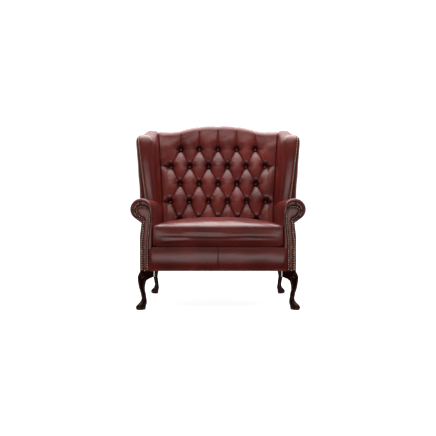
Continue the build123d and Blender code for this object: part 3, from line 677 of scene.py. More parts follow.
@dataclass(frozen=True)
class BrassFinish:
    """Antique brass: warm metal of patchy tone, with painted shade darkening each nail head from its top down to its
    rim.
    """

    bright: Triple = (0.76, 0.59, 0.37)
    dark: Triple = (0.36, 0.28, 0.16)
    # Colour of the painted shade at the rim of each nail head.
    rim: Triple = (0.05, 0.035, 0.03)

    def material(self, name: str) -> bpy.types.Material:
        """Makes the material under that name.

        Args:
            name: The material's name.

        Returns:
            The material.
        """
        tree = FinishTree(name)
        patina = tree.noise(260.0, 4.0)
        tone = tree.ramp(patina, (0.36, self.dark), (0.62, self.bright))
        # Painted shade: the fold attribute darkens the head toward its rim, which leaves a bright core.
        rim_shaded = tree.darkened(1.0, tone, tree.ramp(tree.fold(), (0.0, WHITE), (1.0, self.rim)))
        dents = tree.bump(tree.noise(900.0, 2.0), 0.0003, 0.35)
        return tree.shade(rim_shaded, tree.span(patina, 0.42, 0.30), dents, {"Metallic": 1.0})


@dataclass(frozen=True)
class WoodFinish:
    """Wood with a long grain up the piece, raw or under a polish."""

    dark: Triple
    light: Triple
    rough: float
    grain_scale: Triple = (60.0, 60.0, 4.0)
    sheen: Triple = WHITE

    def material(self, name: str) -> bpy.types.Material:
        """Makes the material under that name.

        Args:
            name: The material's name.

        Returns:
            The material.
        """
        tree = FinishTree(name)
        grain = tree.noise(1.0, 6.0, tree.stretched(self.grain_scale))
        tone = tree.ramp(grain, (0.30, self.dark), (0.70, self.light))
        shade = tree.ramp(tree.noise(9.0), (0.30, (0.66, 0.62, 0.60)), (0.62, WHITE))
        rough = tree.span(grain, self.rough - 0.05, self.rough + 0.07)
        return tree.shade(tree.darkened(0.8, tone, shade), rough, tree.bump(grain, 0.0003, 0.04), {
            "Specular IOR Level": 0.11, "Specular Tint": (*self.sheen, 1.0),
        })


@dataclass(frozen=True)
class ClothFinish:
    """Woven cloth or webbing: crossing threads and uneven colour."""

    dark: Triple
    light: Triple
    threads: float = 900.0

    def material(self, name: str) -> bpy.types.Material:
        """Makes the material under that name.

        Args:
            name: The material's name.

        Returns:
            The material.
        """
        tree = FinishTree(name)
        threads = [tree.node("TexWave", "Color", {
            "Vector": tree.stretched(way), "Scale": self.threads / 6.0, "Distortion": 0.6,
        }, bands_direction="DIAGONAL") for way in ((1.0, 0.0, 0.0), (0.0, 1.0, 1.0))]
        weave = tree.darkened(1.0, *threads)
        tone = tree.ramp(weave, (0.0, self.dark), (0.7, self.light))
        shade = tree.ramp(tree.noise(22.0, 4.0), (0.30, (0.72, 0.72, 0.72)), (0.62, WHITE))
        return tree.shade(tree.darkened(0.7, tone, shade), 0.92, tree.bump(weave, 0.0004, 0.5),
                          {"Sheen Weight": 0.25})


@dataclass(frozen=True)
class SteelFinish:
    """Zinc-plated steel with fine scratches."""

    tone: Triple = (0.50, 0.50, 0.52)

    def material(self, name: str) -> bpy.types.Material:
        """Makes the material under that name.

        Args:
            name: The material's name.

        Returns:
            The material.
        """
        tree = FinishTree(name)
        scratch = tree.noise(700.0)
        low = tuple(part * 0.7 for part in self.tone)
        tone = tree.ramp(scratch, (0.3, low), (0.7, self.tone))
        return tree.shade(tone, tree.span(scratch, 0.30, 0.48), None, {"Metallic": 1.0})


SEAT_FINISHES = {
    Slot.LEATHER: LeatherFinish(),
    # The button leather is the seat leather made darker: painted shade for buttons sunk in their dimples.
    Slot.BUTTON: LeatherFinish(body=(0.060, 0.0090, 0.0075), rubbed=(0.090, 0.016, 0.012), gloss=0.30),
    Slot.BRASS: BrassFinish(),
    Slot.MAHOGANY: WoodFinish((0.0040, 0.0006, 0.0004), (0.014, 0.0020, 0.0010), 0.10, sheen=(0.80, 0.60, 0.55)),
    Slot.TIMBER: WoodFinish((0.30, 0.20, 0.11), (0.50, 0.37, 0.22), 0.62, (5.0, 50.0, 50.0)),
    Slot.WEBBING: ClothFinish((0.06, 0.05, 0.035), (0.20, 0.17, 0.12), 1100.0),
    Slot.PLATFORM: ClothFinish((0.045, 0.012, 0.010), (0.13, 0.040, 0.034)),
    Slot.BOTTOM: ClothFinish((0.010, 0.010, 0.011), (0.035, 0.035, 0.038), 1300.0),
    Slot.STEEL: SteelFinish(),
}


@dataclass(frozen=True)
class SoftLight:
    """One soft rectangular light: where it hangs, what it faces, its width and height in metres and its watts."""

    name: str
    place: Triple
    target: Triple
    wide: float
    tall: float
    power: float

    def build(self) -> None:
        """Hangs the light."""
        data = bpy.data.lights.new(self.name, "AREA")
        data.shape = "RECTANGLE"
        data.size = self.wide
        data.size_y = self.tall
        data.energy = self.power
        light = placed(self.name, data)
        light.location = self.place
        way = Vector(self.target) - light.location
        light.rotation_euler = way.to_track_quat("-Z", "Y").to_euler()


@dataclass(frozen=True)
class Studio:
    """A pale floor, a white surround, soft lights and the camera."""

    distance: float = 3.111
    height: float = 0.4965
    lens: float = 41.5
    dim: float = 0.028
    bright: float = 1.30
    lights: tuple[SoftLight, ...] = (
        SoftLight("overhead", (0.0, 0.35, 2.60), (0.0, 0.10, 0.6), 3.0, 2.0, 130.0),
        SoftLight("behind", (0.0, 2.1, 3.4), (0.0, 1.5, 0.0), 3.2, 1.4, 10.0),
        SoftLight("front_high", (0.0, -1.7, 3.2), (0.0, 0.1, 0.55), 2.0, 0.7, 20.0),
        SoftLight("front_low", (0.0, -3.9, 0.72), (0.0, 0.0, 0.60), 3.6, 1.10, 62.0),
        SoftLight("left", (-2.6, -1.3, 1.3), (0.0, 0.1, 0.6), 1.2, 1.6, 4.0),
        SoftLight("right", (2.6, -1.3, 1.3), (0.0, 0.1, 0.6), 1.2, 1.6, 4.0),
    )

    def build(self) -> None:
        """Sets the camera, the floor, the surround and the lights."""
        self.camera()
        self.floor()
        self.surround()
        for light in self.lights:
            light.build()
        LOG.info("studio: %d lights", len(self.lights))

    def camera(self) -> None:
        """Makes the level camera in front of the seat."""
        data = bpy.data.cameras.new("camera")
        data.lens = self.lens
        data.sensor_width = 36.0
        data.clip_start = 0.05
        data.clip_end = 60.0
        eye = placed("camera", data)
        eye.location = (0.0, -self.distance, self.height)
        eye.rotation_euler = (math.pi / 2, 0.0, 0.0)
        bpy.context.scene.camera = eye

    def floor(self) -> None:
        """Makes the pale floor that the feet stand on."""
        tree = FinishTree("pale_floor")
        tone = tree.ramp(tree.noise(30.0), (0.3, (0.60, 0.60, 0.60)), (0.7, (0.64, 0.64, 0.64)))
        mesh = bpy.data.meshes.new("floor")
        reach, front, rear = 9.0, -0.52, 2.4
        corners = [(-reach, front, 0), (reach, front, 0), (reach, rear, 0), (-reach, rear, 0)]
        mesh.from_pydata(corners, [], [(0, 1, 2, 3)])
        mesh.materials.append(tree.shade(tone, 0.7, None, {"Emission Color": tone, "Emission Strength": 1.25}))
        placed("floor", mesh)

    def surround(self) -> None:
        """Makes the surround: a white sweep behind and overhead that falls off to a dim room in front."""
        world = bpy.data.worlds.new("surround")
        sky = NodeTree(world)
        facing = sky.node("SeparateXYZ", 0, {0: sky.node("TexCoord", "Generated", {})}).node
        sweeps = [sky.node("MapRange", 0, {
            "Value": facing.outputs[axis], "From Min": start, "From Max": end,
            "To Min": self.dim, "To Max": self.bright,
        }, interpolation_type="SMOOTHSTEP") for axis, start, end in (("Y", 0.10, 0.60), ("Z", 0.45, 0.95))]
        most = sky.node("Math", 0, dict(enumerate(sweeps)), operation="MAXIMUM")
        sky.fill(sky.tree.nodes["Background"], {"Color": (1.0, 1.0, 1.0, 1.0), "Strength": most})
        bpy.context.scene.world = world
        bpy.context.scene.view_settings.view_transform = "Standard"


@dataclass
class Upholstery:
    """What every covered piece has: the seat's form, the finishes by slot, and its side."""

    form: SeatForm
    finishes: dict[Slot, bpy.types.Material]
    side: Side = Side.RIGHT

    def dress(self, skin: Skin, node: str | None, fill: float | None = None, slot: Slot = Slot.LEATHER,
              body: Body = Body.FRAME) -> None:
        """Makes a piece from its skin, hides the node that it stands for, if any, and hangs the piece on its body.

        Args:
            skin: Its surface.
            node: The node that it stands for, or None.
            fill: Not used.
            slot: Its material slot.
            body: The body that it rides on.
        """
        piece = skin.build(self.form, self.finishes[slot], self.side)
        if node:
            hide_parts(node)
        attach(piece, body.value)


@dataclass(frozen=True)
class Cell:
    """One padded cell of the buttoned back: its corners, what bounds each side, and its top and side buttons."""

    corners: tuple[tuple[float, float], ...]
    kinds: tuple[EdgeKind, ...]
    hang: float
    waist: float

    def sides(self) -> list[tuple[Array, Array, EdgeKind]]:
        """The sides as a point, an inward normal and a kind, for corners that run either way round.

        Returns:
            One row for each side.
        """
        points = np.array(self.corners)
        middle = points.mean(axis=0)
        found = []
        for start, end, kind in zip(points, np.roll(points, -1, axis=0), self.kinds):
            way = (end - start) / np.linalg.norm(end - start)
            normal = np.array([-way[1], way[0]])
            found.append((start, normal if (middle - start) @ normal >= 0 else -normal, kind))
        return found


@dataclass
class InsideBack(Upholstery):
    """The deep-buttoned inside back: padded diamonds between folded pleats, under a rolled camel crest."""

    row_top: float = 959.0
    row_step: float = 118.0
    pitch: float = 125.0
    peak: float = 15.0
    valley: float = -19.0
    line: float = 4.0
    slope: float = 0.375
    low_slope: float = 0.24
    longest_drop: float = 165.0
    flank: float = 14.0
    dimple: float = 22.0
    sag: float = 2.2
    crest_line: float = 5.0
    crest_peak: float = 9.5
    crest_front: float = 36.0
    crest_rear: float = 14.0
    low_z: float = 332.0
    far: float = 900.0
    blend: float = 15.0
    side_roll: float = 7.0
    side_depth: float = 32.0
    side_height: float = 4.0
    button_edge: float = 10.0
    button_sink: float = 5.0
    edge_rise: float = 34.0
    pleat_depth: float = 3.4
    crest_pleat_depth: float = 2.2
    pleat_width: float = 1.9
    lip: float = 1.3
    crest_lip: float = 0.6
    gather: float = 0.5
    gathers: int = 11
    columns: int = 481
    plane_rows: int = 430

    def rows(self) -> list[float]:
        """Heights of the five rows of buttons."""
        return [self.row_top - self.row_step * row for row in range(5)]

    def buttons(self) -> Array:
        """Width and height of each button, five and six to a row in turn.

        Returns:
            One row for each button.
        """
        places = []
        for row, height in enumerate(self.rows()):
            count = 5 + row % 2
            places += [((index - (count - 1) / 2) * self.pitch, height) for index in range(count)]
        return np.array(places)

    def cells(self) -> list[Cell]:
        """The padded cells: whole diamonds inside, and open ones along the edges of the buttoning.

        Returns:
            The cells.
        """
        rows = self.rows()
        half = self.pitch / 2
        high, low, wide = rows[0] + self.far, rows[4] - self.far, self.far
        pleat, free = EdgeKind.PLEAT, EdgeKind.OPEN
        cells = []
        for row, steps in ((1, (-4, -2, 0, 2, 4)), (2, (-3, -1, 1, 3)), (3, (-4, -2, 0, 2, 4))):
            for x in np.array(steps) * half:
                corners = ((x, rows[row - 1]), (x + half, rows[row]), (x, rows[row + 1]), (x - half, rows[row]))
                cells.append(Cell(corners, (pleat,) * 4, rows[row - 1], rows[row]))
        for x in np.array((-3, -1, 1, 3)) * half:
            for end, edge, inner in ((high, rows[0], rows[1]), (low, rows[4], rows[3])):
                corners = ((x - half, end), (x + half, end), (x + half, edge), (x, inner), (x - half, edge))
                hang, waist = (high, rows[0]) if end == high else (rows[3], low)
                cells.append(Cell(corners, (free, pleat, pleat, pleat, pleat), hang, waist))
        for side in (-1, 1):
            last, outer, edge = side * 4 * half, side * 5 * half, side * wide
            corners = ((last, high), (edge, high), (edge, rows[1]), (outer, rows[1]), (last, rows[0]))
            cells.append(Cell(corners, (free, free, pleat, pleat, pleat), high, rows[0]))
            corners = ((outer, rows[1]), (edge, rows[1]), (edge, rows[3]), (outer, rows[3]), (last, rows[2]))
            cells.append(Cell(corners, (pleat, free, pleat, pleat, pleat), rows[1], rows[2]))
            corners = ((outer, rows[3]), (edge, rows[3]), (edge, low), (last, low), (last, rows[4]))
            cells.append(Cell(corners, (pleat, free, free, pleat, pleat), rows[3], low))
        return cells

    def padding(self, cell: Cell, places: Array, crest: Array) -> tuple[Array, Array, Array, Array]:
        """How one cell is padded.

        Args:
            cell: The cell.
            places: Width and height of each point.
            crest: 0 on the buttoned face and 1 over the crest.

        Returns:
            Which points it holds, their height, and how far they lie from any pleat and from the pleats above.
        """
        x, z = places[..., 0], places[..., 1]
        inside, puff = np.ones(x.shape, bool), np.ones_like(x)
        least, above = np.full_like(x, FAR), np.full_like(x, FAR)
        for start, normal, kind in cell.sides():
            distance = (places - start) @ normal
            inside &= distance >= 0
            if kind is EdgeKind.OPEN:
                continue
            distance = np.maximum(distance, 0)
            least = np.minimum(least, distance)
            if normal[1] < -0.2:
                above = np.minimum(above, distance)
            else:
                puff *= (1 - np.exp(-distance / self.flank)) ** 0.9
        top = mix(self.peak, self.crest_peak, crest)
        foot = self.valley + 3.0
        line = foot + self.slope * (np.maximum(cell.waist - z, 0) - self.button_edge)
        line = np.where(z > cell.waist, mix(self.line, self.crest_line, crest), np.minimum(line, top - 2.0))
        body = line + (top - line) * puff
        drop = np.clip(cell.hang - z - self.button_edge, -2 * self.button_edge, self.longest_drop)
        slope = self.slope if cell.waist > self.low_z else self.low_slope
        facet = foot + slope * drop * (1 - drop / (2 * self.longest_drop))
        facet += self.edge_rise * smooth(4.0, 60.0, np.abs(x) - 2.5 * self.pitch)
        share = np.clip(0.5 + 0.5 * (body - facet) / self.blend, 0, 1)
        return inside, mix(body, facet, share) - self.blend * share * (1 - share), least, above

    def field(self, x: Array, z: Array, crest: Array) -> tuple[Array, Array]:
        """Height of the leather above the back's face.

        Args:
            x: Width of each point.
            z: Height of each point, going on past the crest as distance over the roll.
            crest: 0 on the buttoned face and 1 over the crest.

        Returns:
            The height, and how much painted shade each point gets in pleats, button dimples and the crease by the
            wings.
        """
        places = np.stack([x, z], axis=-1)
        height, nearest, upper = np.zeros_like(x), np.full_like(x, FAR), np.full_like(x, FAR)
        for cell in self.cells():
            inside, value, least, above = self.padding(cell, places, crest)
            height = np.where(inside, value, height)
            nearest = np.where(inside, least, nearest)
            upper = np.where(inside, above, upper)
        from_button, over, hollow = (np.full_like(x, FAR) for _ in range(3))
        swirl = np.zeros_like(x)
        for index, (bx, bz) in enumerate(self.buttons()):
            aside, higher = x - bx, z - bz
            reach = np.hypot(aside, higher)
            hollow = np.minimum(hollow, np.hypot(aside, higher * np.where(z > bz, 1.3, 1.0)))
            over = np.minimum(over, np.where(z > bz, np.hypot(2.2 * aside, higher), FAR))
            gather = bell(reach - 21, 13) * np.sin(self.gathers * np.arctan2(higher, aside) + 1.7 * index)
            swirl = np.where(reach < 60, swirl + gather, swirl)
            from_button = np.minimum(from_button, reach)
        height = mix(height, self.valley, bell(hollow, self.dimple, 1.3) * (1 - crest * 0.4))
        height -= self.button_sink * bell(from_button, 12.5)
        height += self.gather * swirl * (1 - crest)
        height -= self.sag * bell(over - 18.0, 19.0) * (1 - crest)
        height -= mix(self.pleat_depth, self.crest_pleat_depth, crest) * bell(nearest, self.pleat_width)
        height += mix(self.lip, self.crest_lip, crest) * bell(upper - 5.0, 2.0) * smooth(14, 30, from_button)
        form = self.form
        side = form.crease_x(np.clip(z, form.roll_z, 1100.0)) - np.abs(x)
        height = mix(np.minimum(height, self.side_height), height, round_edge(side, self.side_roll))
        # Painted shade: darker along the pleats, in the dimple round each button and in the crease where the back meets
        # the wings.
        fold = 0.50 * bell(nearest, 2.0) * mix(1.0, 0.9, crest)
        fold = np.maximum(fold, np.exp(-np.maximum(from_button - 13.0, 0) / 7.0))
        fold = np.maximum(fold, 0.35 * np.exp(-np.maximum(side, 0) / 4.0))
        return height, fold

    def path(self) -> tuple[Array, Array, Array, Array]:
        """The back's unpadded line, up its face, over the crest and down behind it.

        Returns:
            Points, the ways that they face, the distance along, which is the height on the plain face, and where
            the crest starts.
        """
        form = self.form
        cos, sin, lean = form.lean_cos, form.lean_sin, math.asin(form.lean_sin)
        front, rear = self.crest_front, self.crest_rear
        u = np.linspace(-1, 1, self.columns)
        crest_top = form.crest_z(u * form.crease_top) - self.crest_peak
        tangent = crest_top - front * (1 - sin)
        rows = []
        for share in np.linspace(0, 1, self.plane_rows):
            z = mix(self.low_z, tangent, share)
            x = u * (form.crease_x(np.maximum(z, form.roll_z)) + 3.0)
            rows.append((xyz(x, form.back_y(z, 0), z), (0.0, -cos, sin), z))
        centre_y = form.back_y(tangent, 0) + cos * front
        centre_z = tangent - sin * front
        rake_turn = math.acos(sin)
        rear_z = crest_top - rear
        rear_y = form.back_y(rear_z, -(form.back_thick - 8.0 - self.crest_peak)) - rear / cos
        for turn in rake_turn * np.linspace(0, 1, 26)[1:]:
            way_y, way_z = -math.cos(turn + lean), math.sin(turn + lean)
            place = xyz(x, centre_y + way_y * front, centre_z + way_z * front)
            rows.append((place, (0.0, way_y, way_z), tangent + front * turn))
        for share in np.linspace(0, 1, 20)[1:]:
            place = xyz(x, mix(centre_y, rear_y, share), crest_top + 2.0 * math.sin(math.pi * share))
            rows.append((place, (0.0, 0.0, 1.0), rows[-1][2] + 2.4))
        for turn in (math.pi - rake_turn) * np.linspace(0, 1, 14)[1:]:
            way_y, way_z = math.sin(turn), math.cos(turn)
            place = xyz(x, rear_y + way_y * rear, rear_z + way_z * rear)
            rows.append((place, (0.0, way_y, way_z), rows[-1][2] + 2.0))
        for _ in range(3):
            place, way, along = rows[-1]
            rows.append((place - 8.0 * np.array([0.0, sin, cos]), way, along + 8.0))
        points, ways, along = (np.array(part) for part in zip(*rows))
        return points, ways[:, None], along, tangent

    def build(self) -> None:
        """Makes the buttoned face, which ends in sides that close it, and its buttons."""
        points, ways, along, tangent = self.path()
        height, fold = self.field(points[..., 0], along, smooth(-78.0, 8.0, along - tangent))
        points = points + ways * height[..., None]
        points += ways * (ripple(points, 60.0, 3) * 0.6 + ripple(points, 19.0, 4) * 0.12)[..., None]
        sides = [points[:, place] - ways[:, 0] * self.side_depth for place in (0, -1)]
        points = np.concatenate([sides[0][:, None], points, sides[1][:, None]], axis=1)
        skin = Skin("inside_back")
        # The closing sides get full painted shade.
        skin.add(points, np.pad(fold, ((0, 0), (1, 1)), constant_values=1.0))
        self.dress(skin, "back_pad", fill=0.8)
        self.button_caps()

    def button_caps(self) -> None:
        """Makes the covered buttons, each a low dome with a puckered rim."""
        form = self.form
        skin = Skin("buttons")
        turn = np.linspace(0, 2 * np.pi, 28, endpoint=False)
        profile = ((11.4, -4.5), (11.8, -1.0), (11.3, 1.2), (9.9, 3.1), (7.6, 4.6), (4.6, 5.6), (1.8, 6.0), (0.05, 6.1))
        # Painted shade on each button, from 0.9 at its rim down to 0.2 at its top.
        dark = 0.9 - 0.1 * np.arange(len(profile))[:, None]
        out = np.array([0.0, -form.lean_cos, form.lean_sin])
        up = np.array([0.0, form.lean_sin, form.lean_cos])
        for index, (x, z) in enumerate(self.buttons()):
            pucker = 1 + 0.012 * np.sin(9 * turn + index)
            centre = np.array([x, form.back_y(z, 0), z])
            rings = []
            for radius, rise in profile:
                offset = np.outer(np.cos(turn) * radius * pucker, (1.0, 0, 0)) + np.outer(np.sin(turn) * radius, up)
                rings.append(centre + offset + out * (rise + self.valley - 3.0))
            skin.add(np.array(rings), dark, closed=True)
        self.dress(skin, "back_buttons", slot=Slot.BUTTON)


@dataclass(frozen=True)
class WingOutline:
    """The side outline of the wing, read at any inset from its nailed edge.

    Each row of the table holds a share of the depth, a share of the height, and how far the inset moves it back
    and down.
    """

    form: SeatForm
    table: tuple[tuple[float, float, float, float], ...] = (
        (0.03, -0.129, 1.0, 0.0), (-0.0075, 0.239, 1.0, 0.0), (-0.0075, 0.5256, 1.0, 0.0),
        (0.0075, 0.7096, 1.0, 0.3), (0.05, 0.8057, 0.7, 0.8), (0.1375, 0.8487, 0.3, 1.0),
        (0.25, 0.8589, 0.0, 1.0), (0.3875, 0.8855, 0.0, 1.0), (0.5875, 0.9427, 0.0, 1.0), (0.8125, 1.0, 0.0, 0.6),
    )
    tail_out: float = -109.0

    def read(self, count: int) -> Array:
        """The outline and how it moves with the inset.

        Args:
            count: How many points to read.

        Returns:
            Rows of depth, height, backward share and downward share.
        """
        form = self.form
        table = np.array(self.table)
        depth = form.back_y(form.wing_tail_z, -form.back_thick) - form.wing_front
        table[:, 0] = form.wing_front + table[:, 0] * depth
        table[:, 1] = form.arm_top + table[:, 1] * (form.wing_tail_z - form.arm_top)
        table[0, 1] = form.wing_low
        knots = chords(table[:, :2])
        fine = cubic(table, knots, np.linspace(0, knots[-1], 900))
        tail = np.array([form.back_y(form.wing_tail_z, self.tail_out), form.wing_tail_z - 2.0, 0.0, 1.0])
        fine = np.concatenate([fine, mix(fine[-1], tail, np.linspace(0, 1, 120)[1:, None])])
        along = chords(fine[:, :2])
        return read_at(fine, along, np.linspace(0, along[-1], count))

    def at(self, table: Array, inset: Array | float) -> tuple[Array, Array]:
        """Depth and height of the outline moved in by an inset."""
        return table[:, 0] + table[:, 2] * inset, table[:, 1] - table[:, 3] * inset


@dataclass
class Wing(Upholstery):
    """One wing: the pad rolled over its front and top edges, the swelling outside panel and their nails."""

    along: int = 300
    roll: float = 45.0
    bulge: float = 27.0
    low_bulge: float = 42.0
    foot_cover: float = 9.5
    front_rim: float = 46.0
    rear_rim: float = 34.0
    head_from: float = 830.0
    head_to: float = 1010.0
    wall_out: float = -14.0
    valley_y: float = 490.0
    valley_z: float = 1020.0
    valley_wide: float = 0.022
    valley_deep: float = 5.0
    rear_out: float = -116.5
    section: tuple[tuple[float, float], ...] = (
        (0.0, 0.10), (0.015, -0.10), (0.08, -0.27), (0.22, -0.34), (0.42, -0.29), (0.64, -0.11), (0.82, 0.20),
        (0.93, 0.60), (0.985, 1.0), (1.0, 1.45),
    )

    def build(self) -> None:
        """Makes the pad, the outside panel and the nails."""
        outline = WingOutline(self.form)
        self.pad(outline)
        self.outside(outline)
        self.nails(outline)

    def pad(self, outline: WingOutline) -> None:
        """Makes the inside pad, from the nails over the rolled edge to the crease and back along the inside.

        Args:
            outline: The wing's outline.
        """
        form = self.form
        table = outline.read(self.along)
        profile = smooth_line(np.array(self.section) * (100.0, self.roll), 72)
        place = np.linspace(0, 1, self.along)
        valley = place[np.argmin(np.hypot(table[:, 0] - self.valley_y, table[:, 1] - self.valley_z))]
        soft = 1 - 0.62 * smooth(self.head_from, self.head_to, table[:, 1])
        grid, fold = [], []
        for wide, move in zip(profile[:, 0] / 100.0, profile[:, 1]):
            share = float(np.clip(wide, 0, 1))
            y, z = outline.at(table, move if move > 0 else move * soft)
            hollow = bell(place - (valley + 0.035 * share), self.valley_wide) * (1 - smooth(0.45, 0.95, share))
            hollow *= self.valley_deep * smooth(0.0, 0.08, share)
            y = y + hollow * table[:, 2]
            z = z - hollow * table[:, 3]
            nailed = form.wing_x(y, z)
            grid.append(xyz(nailed + (form.crease_x(z) - nailed) * wide, y, z))
            # Painted shade along the nailed edge and in the valley of the top.
            fold.append(0.8 * np.exp(-share / 0.018) + 0.22 * hollow / self.valley_deep)
        last = grid[-1]
        wall_z = np.linspace(form.wing_low, last[-1, 2], self.along)
        behind = last[:, 1] > form.back_y(last[:, 2], self.wall_out)
        target_y = np.where(behind, last[:, 1] - 8.0, form.back_y(wall_z, self.wall_out))
        target_z = np.where(behind, last[:, 2] - 40.0, wall_z)
        for share in np.linspace(0, 1, 26)[1:]:
            z = mix(last[:, 2], target_z, share)
            x = form.crease_x(z) - np.sin(np.pi * share) * (1 - behind)
            grid.append(xyz(x, mix(last[:, 1], target_y, share), z))
            # Painted shade growing toward the back along the wing's inside.
            fold.append(np.full(self.along, 0.35 * smooth(0.75, 1.0, share)))
        points = np.array(grid)
        points[..., 1] += 0.5 * ripple(points, 140.0, 11)
        end = points[:, -1:]
        turned = [end + (0.0, 5.0 * math.sin(turn), -5.0 * (1 - math.cos(turn))) for turn in (0.5, 1.0, 1.57)]
        points = np.concatenate([points, *turned, turned[-1] - (0.0, 0.0, 45.0)], axis=1)
        points[..., 1] = np.minimum(points[..., 1], form.back_y(points[..., 2], self.rear_out))
        fold = np.pad(np.array(fold), ((0, 0), (0, 4)), mode="edge")
        skin = Skin(self.side.named("inside_wing"))
        skin.add(np.swapaxes(points, 0, 1)[:, ::-1], fold.T[:, ::-1])
        self.dress(skin, self.side.named("wing_pad"), fill=0.85)

    def outside(self, outline: WingOutline) -> None:
        """Makes the padded outside panel, swelling between its edges and out over the arm's end at its foot.

        Args:
            outline: The wing's outline.
        """
        form = self.form
        front = xyz(*outline.at(outline.read(self.along), 1.0))
        rear_z = np.linspace(form.wing_low, front[-1, 1] - 2.0, self.along)
        rear = xyz(form.back_y(rear_z, -form.back_thick + 6.0), rear_z)
        flat = between(front, rear, 70)
        y, z = flat[..., 0], flat[..., 1]
        front_gap, rear_gap = to_line(flat, front), to_line(flat, rear)
        swell = round_edge(front_gap, self.front_rim) * round_edge(rear_gap, self.rear_rim)
        height = mix(self.low_bulge, self.bulge, smooth(form.arm_top, 1000.0, z)) * swell
        points = xyz(form.wing_x(y, z) + height + self.foot_cover * smooth(720.0, 575.0, z), y, z)
        points[..., 0] += 0.9 * ripple(points, 110.0, 21) * swell
        points = np.concatenate([points[:, :1] - (7.0, 0, 0), points, points[:, -1:] - (12.0, 0, 0)], axis=1)
        # Painted shade along the front and rear edges, full on the turned edges.
        fold = np.pad(0.7 * np.exp(-np.minimum(front_gap, rear_gap) / 5.0), ((1, 0), (1, 1)), constant_values=1.0)
        tuck = points[:1] - (0, 0, 3.0)
        tuck[..., 0] = np.minimum(tuck[..., 0], form.wing_foot - 26.0)
        skin = Skin(self.side.named("wing_side_cover"))
        skin.add(np.concatenate([tuck, points]), fold)
        self.dress(skin, self.side.named("outside_wing"), fill=0.8)

    def nails(self, outline: WingOutline) -> None:
        """Makes the row of nails along the front and top edges, facing outward and a little forward.

        Args:
            outline: The wing's outline.
        """
        form = self.form
        y, z = outline.at(outline.read(900), 1.5)
        line = xyz(form.wing_x(y, z) + 1.5, y, z)
        line = line[(z > form.arm_top - 4.0) | (y > form.wing_front + 60)]
        way = np.gradient(line, axis=0)
        level = np.linalg.norm(way[:, 1:], axis=1)
        out = xyz((0.10 + 0.9 * smooth(0.3, 0.9, way[:, 1] / level)) * level, -way[:, 2], way[:, 1])
        NailRow(form, self.finishes, self.side, self.side.named("wing_nails")).build(line, out)


@dataclass
class NailRow(Upholstery):
    """A row of domed nails along a line, nearly touching."""

    name: str = "nails"
    head: float = 6.8
    rise: float = 3.4
    pitch: float = 12.3
    tilt: float = 0.07
    # Each ring of the dome: width share, height share and its painted shade, which is darkest at the rim and none at
    # the top.
    dome: tuple[Triple, ...] = (
        (1.0, -0.5, 1.0), (1.0, 0.0, 1.0), (0.93, 0.30, 0.75), (0.76, 0.62, 0.2), (0.50, 0.86, 0.0),
        (0.24, 0.97, 0.0), (0.01, 1.0, 0.0),
    )

    def build(self, line: Array, out: Array) -> None:
        """Makes the nails.

        Args:
            line: The points of the line that they follow, close together.
            out: The way that the leather faces at each point.
        """
        along = chords(line)
        count = max(int(along[-1] / self.pitch), 1)
        places = (np.arange(count) + 0.5) * along[-1] / count
        facing = read_at(out, along, places)
        facing /= np.linalg.norm(facing, axis=1)[:, None]
        turn = np.linspace(0, 2 * np.pi, 14, endpoint=False)
        # Painted shade for each ring, carried in the fold attribute.
        dark = np.array(self.dome)[:, 2:]
        random = np.random.default_rng(len(self.name))
        skin = Skin(self.name)
        for middle, up in zip(read_at(line, along, places), facing):
            first = np.cross(up, (0.31, 0.22, 0.92))
            first /= np.linalg.norm(first)
            second = np.cross(up, first)
            tip = up + self.tilt * (random.uniform(-1, 1) * first + random.uniform(-1, 1) * second)
            ring = np.outer(np.cos(turn), first) + np.outer(np.sin(turn), second)
            rings = [middle + ring * wide * self.head / 2 + tip * lift * self.rise for wide, lift, _ in self.dome]
            skin.add(np.array(rings), dark, closed=True)
        self.dress(skin, None, slot=Slot.BRASS)


@dataclass(frozen=True)
class FacingOutline:
    """The scroll-headed outline of the arm's front facing, in width and height."""

    form: SeatForm
    shares: tuple[tuple[float, float], ...] = (
        (0.171, 0.0), (0.171, 0.120), (0.171, 0.231), (0.146, 0.444), (0.1125, 0.563), (0.0875, 0.629),
        (0.071, 0.703), (0.071, 0.789), (0.129, 0.8325), (0.25, 0.888), (0.35, 0.900), (0.5375, 0.899),
        (0.658, 0.891), (0.742, 0.860), (0.754, 0.822), (0.708, 0.784), (0.642, 0.754), (0.542, 0.726),
        (0.4125, 0.690), (0.4375, 0.655), (0.446, 0.563), (0.496, 0.454), (0.504, 0.231), (0.504, 0.120),
        (0.504, 0.0),
    )
    neck_z: float = 500.0
    inner_neck: float = 484.0
    outer_neck: float = 481.0

    def line(self, count: int = 1200) -> Array:
        """The outline from the inner foot over the scroll to the outer foot.

        Args:
            count: How many points to return.

        Returns:
            The outline's points.
        """
        form = self.form
        size = np.array([form.arm_outer - form.arm_inner, form.arm_top - form.frame_low])
        return smooth_line((form.arm_inner, form.frame_low) + np.array(self.shares) * size, count)

    def inset(self, distance: float) -> Array:
        """The outline moved inward, as the nails follow it.

        Args:
            distance: How far.

        Returns:
            The moved points.
        """
        line = self.line()
        way = np.gradient(line, axis=0)
        way /= np.linalg.norm(way, axis=1)[:, None]
        return line + xyz(way[:, 1], -way[:, 0]) * distance

    def rails(self, count: int) -> list[Array]:
        """The inner and the outer edge as two rows of points that pair up from the foot to the scroll's tip.

        Args:
            count: How many points each has.

        Returns:
            The two rows.
        """
        line = self.line()
        tip = int(np.argmax(np.where(line[:, 1] > self.neck_z, line[:, 0], 0)))
        inner, outer = line[:tip + 1], line[tip:][::-1]
        late = np.arange(len(inner)) > len(inner) * 0.75
        inner_neck = np.argmin(np.abs(inner[:, 1] - self.inner_neck) + 1e3 * late)
        outer_neck = np.argmin(np.where(outer[:, 1] < self.neck_z, np.abs(outer[:, 1] - self.outer_neck), FAR))
        lower = int(count * 0.6)
        return [np.concatenate([evenly(edge[:neck + 1], lower), evenly(edge[neck:], count - lower + 1)[1:]])
                for edge, neck in ((inner, inner_neck), (outer, outer_neck))]


